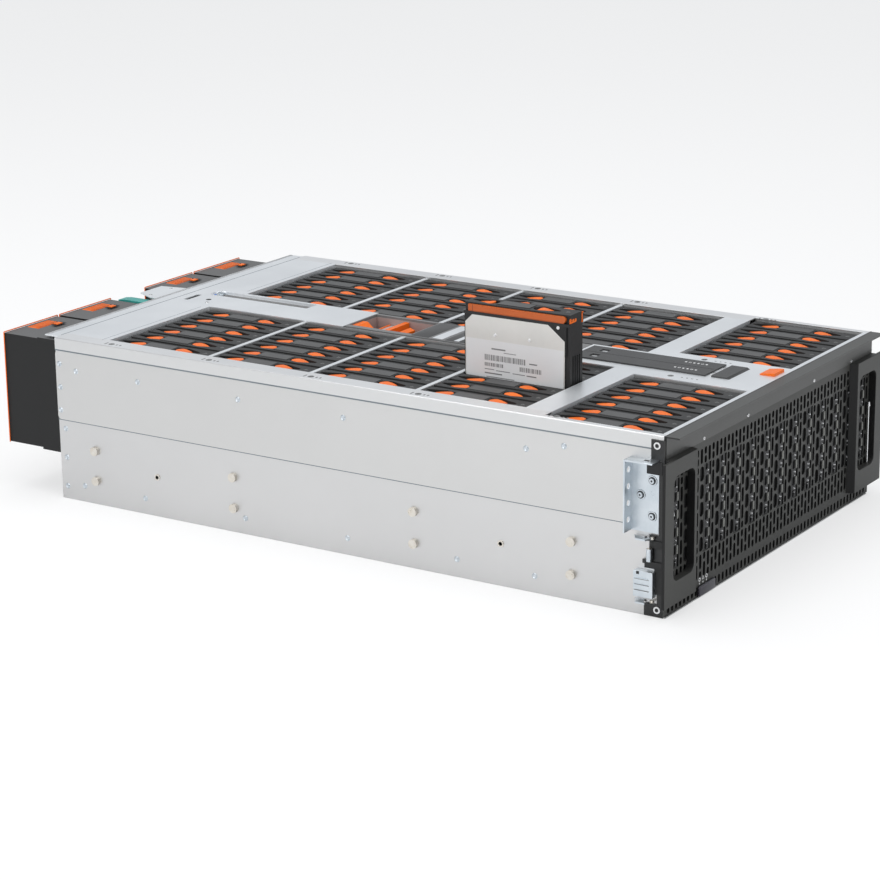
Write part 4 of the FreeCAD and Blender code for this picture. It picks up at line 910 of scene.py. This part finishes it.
def dress_head(groove_shades, prints, x, y0, level):
    """Painted shade of the groove round the pad, and a printed triangle near the front of one head."""
    middle = y0 + PAD_MIDDLE
    for low, high in (((-PAD_HALF - GROOVE, -PAD_REACH), (-PAD_HALF, PAD_REACH)),
                      ((PAD_HALF, -PAD_REACH), (PAD_HALF + GROOVE, PAD_REACH)),
                      ((-PAD_HALF - GROOVE, PAD_REACH), (PAD_HALF + GROOVE, PAD_REACH + GROOVE)),
                      ((-PAD_HALF - GROOVE, -PAD_REACH - GROOVE), (PAD_HALF + GROOVE, -PAD_REACH))):
        block(groove_shades, (x + low[0], middle + low[1], level - 0.05),
              (x + high[0], middle + high[1], level + 0.06))
    ring(prints, (x, y0 + MARK_PLACE, level - 0.05), UP, 2.6, 1.7, 0.12, sides=3)


for row in rows:
    groove_shades, prints = bmesh.new(), bmesh.new()
    for head in heads(row):
        dress_head(groove_shades, prints, *head)
    finished("head_grooves_%d" % row, groove_shades, deep_black, "row_%d" % row)
    finished("head_marks_%d" % row, prints, pale_print, "row_%d" % row)
groove_shades, prints = bmesh.new(), bmesh.new()
dress_head(groove_shades, prints, *lone_head)
finished("raised_head_grooves", groove_shades, deep_black, "raised_drive")
finished("raised_head_marks", prints, pale_print, "raised_drive")
print("heads dressed:", sum(len(heads(row)) for row in rows) + 1)

# %% [markdown]
# The raised drive shows its whole side, so it carries the most detail: a paper label, two small
# screws, a white pin, the teeth at the front of its latch bar and an orange hook at the far
# corner.  The label has no writing, only the grey rhythm that print makes at a distance.

# %% The raised drive
PRINT_HIGH, PRINT_LOW = 0.14, 0.08          # the print stands on the paper between these
LABEL_BELOW = 24.5
BARCODES = ((258.0, 211.6, 188.6, 194.4), (258.0, 236.6, 182.6, 186.2),     # y from and to, z
            (218.0, 193.6, 181.6, 186.2))
LINES = ((250.0, 234.0, 200.6, 1.5), (236.0, 222.0, 197.8, 0.7), (207.0, 198.0, 190.6, 1.2),
         (258.0, 247.0, 179.6, 0.8), (245.0, 229.0, 179.0, 0.8), (226.0, 212.0, 178.4, 0.8),
         (210.0, 199.0, 178.2, 1.2), (258.0, 238.0, 175.6, 1.3), (256.0, 224.0, 172.0, 0.8))
metal_low, metal_high = edges_of("raised_face_plate")
bar_low, bar_high = edges_of("raised_latch_bar")
out_x, front_y, far_x = metal_low.x, drive_low.y, drive_high.x
paper = finish("paper", grey(0.70), grey(0.74), (0.6, 0.7), 0.0, MOULDED, 0.000004, 20.0)
ink = finish("ink", grey(0.16), grey(0.24), (0.5, 0.6), 0.0, MOULDED, 0.000004, 90.0)
bar_shade = finish("bar_shade", (0.16, 0.03, 0.006), (0.20, 0.04, 0.008), (0.5, 0.6))
label, print_marks, screws, pin, shade, teeth, seam = (bmesh.new() for _ in range(7))


def printed(y0, y1, z0, z1):
    block(print_marks, (out_x - PRINT_HIGH, y0, z0), (out_x - PRINT_LOW, y1, z1))


block(label, (out_x - 0.10, metal_low.y + 1.2, metal_low.z + 1.0),
      (out_x + 0.05, metal_high.y - 1.0, metal_high.z - LABEL_BELOW))
for y, y_end, z0, z1 in BARCODES:
    k = 0
    while y > y_end:
        wide = 0.5 + 0.28 * ((k * 7) % 4)
        printed(y - wide, y, z0, z1)
        y -= wide + 0.45 + 0.2 * ((k * 5) % 3)
        k += 1
for y1, y0, z, tall in LINES:
    printed(y0, y1, z - tall / 2, z + tall / 2)
for y, z in ((245.9, 214.8), (207.0, 214.4)):
    screw(screws, (out_x, y, z), (-1, 0, 0), 1.7, 0.35)
rod(pin, (out_x + 0.4, 174.6, 231.0), (-1, 0, 0), 1.9, 1.0, tip=1.5, sides=20)
# Painted shadow: a black patch on the carrier's side, in front of its metal plate.
block(shade, (out_x + 0.02, front_y + 3.0, 203.0), (out_x + 0.42, 192.0, 234.5))
for k in range(3):
    rod(teeth, (out_x + 3.0 + 4.6 * k, front_y + 0.2, 238.6 - 0.5 * k), (0, -1, 0), 2.1, 0.5,
        tip=1.6, sides=8)
block(teeth, (out_x + 0.6, front_y - 0.2, 235.8), (out_x + 13.0, front_y + 0.1, 237.4), 0.15)
block(teeth, (far_x - 3.6, front_y - 0.4, 233.0), (far_x - 1.8, front_y + 0.2, 243.4), 0.3)
block(teeth, (far_x - 3.6, front_y - 0.4, 242.0), (far_x - 0.4, front_y + 0.2, 243.6), 0.3)
block(seam, (bar_low.x - 0.06, bar_high.y - 5.4, bar_low.z + 0.9),
      (bar_low.x + 0.3, bar_high.y - 4.8, bar_high.z - 0.9))
block(seam, (bar_low.x - 0.06, bar_low.y + 6.0, bar_low.z + 1.1),
      (bar_low.x + 0.3, bar_high.y - 0.6, bar_low.z + 1.4))
finished("drive_label", label, paper, "raised_drive")
finished("label_print", print_marks, ink, "raised_drive")
finished("plate_screws", screws, bright_steel, "raised_drive")
finished("drive_pin", pin, white_print, "raised_drive")
finished("corner_shade", shade, deep_black, "raised_drive")
finished("drive_teeth", teeth, orange_mould, "raised_drive")
finished("bar_seam", seam, bar_shade, "latch_bar")
print("raised drive dressed from y %.1f" % front_y)

# %% [markdown]
# The two front corners hold the small hardware that meets the rack: a tab over each bracket, a
# pin between two black blocks, keepers with their screws, a ribbed latch and a thin spring rod in
# each handle.  A status lens lies in the foot of the plate.

# %% Corner hardware
BLACK_BLOCKS = (((229.0, 12.0, 152.05), (232.4, 17.5, 152.2), 0.0),     # given for the right side
                ((223.7, 1.6, 138.0), (225.6, 18.0, 150.5), 0.6),
                ((223.6, 1.0, 67.8), (226.2, 13.0, 75.0), 0.3),
                ((223.6, 1.0, 48.0), (226.4, 19.0, 54.6), 0.3),
                ((223.4, 1.4, 23.0), (224.9, 9.4, 48.0), 0.0),
                # painted shade: the last block stands for the shade in the notch at the top of the
                # latch
                ((229.7, 22.5, 41.8), (229.98, 25.5, 44.6), 0.0))
RIB_LEVELS = (26.0, 31.5, 37.0)
KEEPER_LEVELS = (76.6, 15.4)
bracket_top = edges_of("rail_bracket_right")[1]
rib_shade = finish("rib_shade", grey(0.16), grey(0.22), (0.4, 0.5), 0.6)
lens = finish("lens", (0.012, 0.010, 0.018), (0.020, 0.016, 0.030), (0.10, 0.18), 0.0,
              Coat_Weight=0.6)


def mirrored(bm, sign, low, high, edge=0.0):
    """A block given for the right side, on the side that the sign names."""
    xs = sorted((sign * low[0], sign * high[0]))
    block(bm, (xs[0], low[1], low[2]), (xs[1], high[1], high[2]), edge)


tabs, blacks, creams, springs, small, glass, marks = (bmesh.new() for _ in range(7))
ribs = {side: bmesh.new() for side in sides}
for sign, side in zip((-1, 1), sides):
    mirrored(tabs, sign, (223.6, 5.5, 150.6), (bracket_top.x - 0.2, 35.0, 152.1), 0.4)
    for low, high, edge in BLACK_BLOCKS:
        mirrored(blacks, sign, low, high, edge)
    rod(creams, (sign * 227.7, 13.1, 55.2), UP, 2.5, 12.4, sides=20)
    rod(springs, (sign * 214.0, -3.4, 36.0), UP, 0.7, 62.0, sides=10)
    rod(springs, (sign * 214.0, -3.4, 98.0), UP, 1.7, 4.6, tip=1.1, sides=14)
    for z in KEEPER_LEVELS:
        rod(small, (sign * 226.4, 10.5, z), UP, 2.3, 2.4, tip=1.9, sides=16)
        # Painted shade: a black disc stands for the shade in each keeper's hole.
        rod(blacks, (sign * 226.4, 17.5, z + 0.4), UP, 1.2, 1.0, sides=14)
    # Painted shade: the latch's ribs are dark strips laid on its face, standing for the shade between
    # them.
    for z in RIB_LEVELS:
        mirrored(ribs[side], sign, (229.6, 12.0, z), (229.95, 27.6, z + 0.5))
block(glass, lamp_low, lamp_high, 2.4, 4)
for k in range(3):
    x = lamp_low.x + 5.0 + 7.0 * k
    outer, inner, corners = (2.4, 1.5, 3) if k == 1 else (2.0, 1.2, 12)
    ring(marks, (x, 0.05, 17.4), (0, -1, 0), outer, inner, 0.16, sides=corners)
    rod(marks, (x, 0.05, 13.4), (0, -1, 0), 0.9, 0.16, sides=10)
finished("bracket_tabs", tabs, zinc)
finished("corner_blocks", blacks, deep_black)
finished("corner_pins", creams, nickel)
finished("spring_rods", springs, bright_steel)
finished("keeper_screws", small, nickel)
for side in sides:
    finished("latch_ribs_" + side, ribs[side], rib_shade, "rail_latch_" + side)
finished("status_lens", glass, lens, replaces=["lamp_tab"])
finished("status_marks", marks, white_print)
print("corner hardware and status marks placed")

# %% [markdown]
# A seam is a thin shadow.  The ones under each top rail and each side overlay are laid in as dark
# strips, and the folded edge of the rear deck as a pale one.  Printed marks stand on the rails
# beside the rear end of each row: a bar, a ring with a dot, and two short dashes.

# %% Seams and printed marks
INK_HIGH = 0.08
RAIL_INSET, STRIP_X = 7.6, 35.5
DECK_CREASE = (719.6, 720.6)
DECK_FOLD = (733.2, 736.8)
DECK_JOINT = (669.6, 670.1)
seam_shade = finish("seam_shade", (0.17, 0.20, 0.22), (0.22, 0.25, 0.27), (0.5, 0.6), 0.4)
seams, fold, prints = bmesh.new(), bmesh.new(), bmesh.new()
panel_low, panel_high = edges_of("side_panel_right")
deck_low, deck_high = edges_of("rear_deck")


def printed_dial(x, y, outer, inner, corners):
    """A printed ring with a dot in it, on the top of the chassis."""
    ring(prints, (x, y, top - 0.02), UP, outer, inner, 0.1, sides=corners)
    rod(prints, (x, y, top - 0.02), UP, 1.2, 0.1, sides=10)


def printed_bar(x, y, half, length):
    block(prints, (x - half, y, top), (x + half, y + length, top + INK_HIGH))


def flat_strip(bm, x0, x1, span, high, edge=0.0):
    block(bm, (x0, span[0], top - 0.05), (x1, span[1], top + high), edge)


for sign in (-1, 1):
    mirrored(seams, sign, (half_width - 0.1, panel_low.y, panel_high.z + 0.1),
             (half_width + 0.06, panel_high.y, panel_high.z + 1.5))
    mirrored(seams, sign, (pan_face - 0.1, panel_low.y, panel_low.z - 0.9),
             (half_width - 0.1, panel_high.y, panel_low.z))
    rail_x = sign * (half_width - RAIL_INSET)
    for row in rows:
        rear = edges_of("row_%d_carriers" % row)[1].y
        printed_bar(rail_x, rear - 3.8, 3.2, 1.6)
        printed_dial(rail_x, rear - 10.0, 3.4, 2.3, 18)
        for k in range(2):
            printed_bar(rail_x, rear - 17.8 - 4.4 * k, 1.6, 1.9)
    printed_dial(sign * STRIP_X, 96.0, 3.2, 2.2, 20)
    for k in range(4):
        printed_bar(sign * STRIP_X, 66.0 + 5.5 * k, 0.9, 2.0)
flat_strip(seams, deck_low.x + 6, deck_high.x - 6, DECK_CREASE, 0.06)
flat_strip(fold, deck_low.x + 1, deck_high.x - 1, DECK_FOLD, 0.35, 0.15)
flat_strip(seams, deck_low.x + 12, -40.0, DECK_JOINT, 0.05)
flat_strip(seams, 44.0, deck_high.x - 12, DECK_JOINT, 0.05)
finished("seams", seams, seam_shade)
finished("deck_fold", fold, bright_steel)
finished("rail_marks", prints, ink)
print("seams and marks laid")

# %% [markdown]
# The spine carries a cable in its trough with a knurled collar and a blue end, two covers with a
# centre line and small plain icons, and the lift-out module with its tinted walls, silver bridge
# and dark plates.

# %% Spine
CABLE_X, CABLE_Z = 21.5, 171.0
CABLE = (568.0, 118.0)                      # y from, and length
COLLAR_Y, END_Y = 684.0, 693.0
ICON_X, ICON_Y, ICON_PITCH = 11.5, 82.0, 4.6
POCKET_X, POCKET_BACK = (-23.8, 26.4), 484.2
DARK_PLATES = ((382.0, 404.0), (336.0, 362.0), (262.0, 330.0))      # y from and to
PALE_STRIPS = ((366.0, 378.0), (346.0, 352.0))
cover_low, cover_high = edges_of("spine_covers")
module_low, module_high = edges_of("expander_module")
cover_x = (cover_low.x + cover_high.x) / 2
blue_mould = finish("blue_mould", (0.02, 0.12, 0.45), (0.03, 0.16, 0.55), (0.3, 0.4))
tinted_wall = finish("tinted_wall", (0.36, 0.27, 0.25), (0.42, 0.32, 0.30), (0.35, 0.45))


def lengthways(bm, y, z, radius, length, tip=None, sides=16):
    rod(bm, (CABLE_X, y, z), (0, 1, 0), radius, length, tip, sides)


cable, collar, cable_end, lines, icons, clips = (bmesh.new() for _ in range(6))
lengthways(cable, CABLE[0], CABLE_Z, 3.2, CABLE[1])
lengthways(collar, COLLAR_Y, CABLE_Z + 0.2, 4.4, 9.0, sides=18)
for k in range(4):
    ring(collar, (CABLE_X, COLLAR_Y + 0.6 + 2.2 * k, CABLE_Z + 0.2), (0, 1, 0), 4.8, 4.4, 1.1,
         sides=18)
lengthways(cable_end, END_Y, CABLE_Z, 2.6, 5.0, 2.0, 14)
block(lines, (cover_x - 0.3, 68.0, cover_high.z - 0.05), (cover_x + 0.3, 214.0, cover_high.z + 0.06))
for x in (cover_x - ICON_X, cover_x + ICON_X):
    for k in range(6):
        y = ICON_Y + ICON_PITCH * k
        if k % 3 == 1:
            ring(icons, (x, y, cover_high.z - 0.02), UP, 1.5, 0.9, 0.1, sides=10)
        else:
            block(icons, (x - 1.3, y - 1.0, cover_high.z), (x + 1.3, y + 1.0, cover_high.z + INK_HIGH))
    block(clips, (x - 5.0, 60.8, top), (x + 5.0, 65.0, top + 0.7), 0.2)
rod(lines, (-9.0, 683.0, top - 0.05), UP, 3.0, 0.12, sides=18)
screw(clips, (-21.0, 676.0, top - 0.02), UP, 2.2, 0.6)
finished("spine_cable", cable, grey_mould)
finished("cable_collar", collar, zinc)
finished("cable_end", cable_end, blue_mould)
finished("cover_lines", lines, deep_black)
finished("cover_icons", icons, white_print)
finished("spine_clips", clips, bright_steel)

walls, plates, strips, bridge, edge = (bmesh.new() for _ in range(5))
left, right = POCKET_X
for x in POCKET_X:
    block(walls, (x, 407.2, 142.0), (x + 0.4, POCKET_BACK - 0.2, 172.5))
block(walls, (left + 0.4, POCKET_BACK, 142.0), (right, POCKET_BACK + 0.4, 172.5))
for span in DARK_PLATES:
    flat_strip(plates, module_low.x + 1.5, module_high.x - 1.5, span, 0.25, 0.1)
for y0, y1 in PALE_STRIPS:
    block(strips, (module_low.x + 3.0, y0, top - 0.02), (module_high.x - 3.0, y1, top + 0.35), 0.1)
block(bridge, (left + 1.2, 455.0, 164.6), (right - 0.8, 466.0, 165.4), 0.2)
block(edge, (left + 1.2, 466.0, 164.2), (right - 0.8, 467.6, 166.4), 0.3)
finished("module_walls", walls, tinted_wall, "expander")
finished("module_plates", plates, dark_mould, "expander")
finished("module_strips", strips, cross_steel, "expander")
finished("module_bridge", bridge, cross_steel, "expander")
finished("module_bridge_edge", edge, orange_mould, "expander")
print("spine dressed")

# %% [markdown]
# Every fan box has a thin orange line along its outer edge, a ribbed grip over its latch and a
# pocket in front of it, whose shade is painted on as a flat black patch.  The deck's tongue is
# held by two screws.

# %% Rear
GRIP_RIBS, GRIP_PITCH = 5, 2.8
TONGUE_SCREWS = (-24.0, 12.0)               # x
for k in fans:
    low, high = edges_of("fan_%d_housing" % k)
    latch_low, latch_high = edges_of("fan_%d_latch" % k)
    x, y, back = (latch_low.x + latch_high.x) / 2, latch_low.y, high.y - 0.05
    lines, pocket, grip = bmesh.new(), bmesh.new(), bmesh.new()
    block(lines, (low.x + 0.5, high.y - 1.0, high.z - 0.9), (high.x - 0.5, back, high.z + 0.15), 0.2)
    for edge in (low.x - 0.1, high.x - 0.8):
        block(lines, (edge, high.y - 1.0, low.z + 0.8), (edge + 0.9, back, high.z - 0.4), 0.2)
    # Painted shade: a flat black patch stands for the shade in the pocket in front of the latch.
    block(pocket, (x - 2.0, y - 12.0, high.z - 0.1), (x + 14.0, y - 4.0, high.z + INK_HIGH))
    block(lines, (x + 1.0, y - 11.0, high.z), (x + 9.0, y - 5.0, high.z + 1.2), 0.4)
    for step in range(GRIP_RIBS):
        rib = y + 2.0 + GRIP_PITCH * step
        block(grip, (latch_low.x + 2.0, rib, latch_high.z - 0.1),
              (latch_high.x - 2.0, rib + 1.0, latch_high.z + 0.25), 0.1)
    finished("fan_%d_lines" % k, lines, orange_mould, "fan_%d" % k)
    finished("fan_%d_pocket" % k, pocket, deep_black, "fan_%d" % k)
    finished("fan_%d_grip" % k, grip, bar_mould, "fan_%d_latch" % k)
tongue = bmesh.new()
for x in TONGUE_SCREWS:
    screw(tongue, (x, 752.0, top - 0.02), UP, 2.0, 0.5)
finished("tongue_screws", tongue, bright_steel)
print("rear dressed")
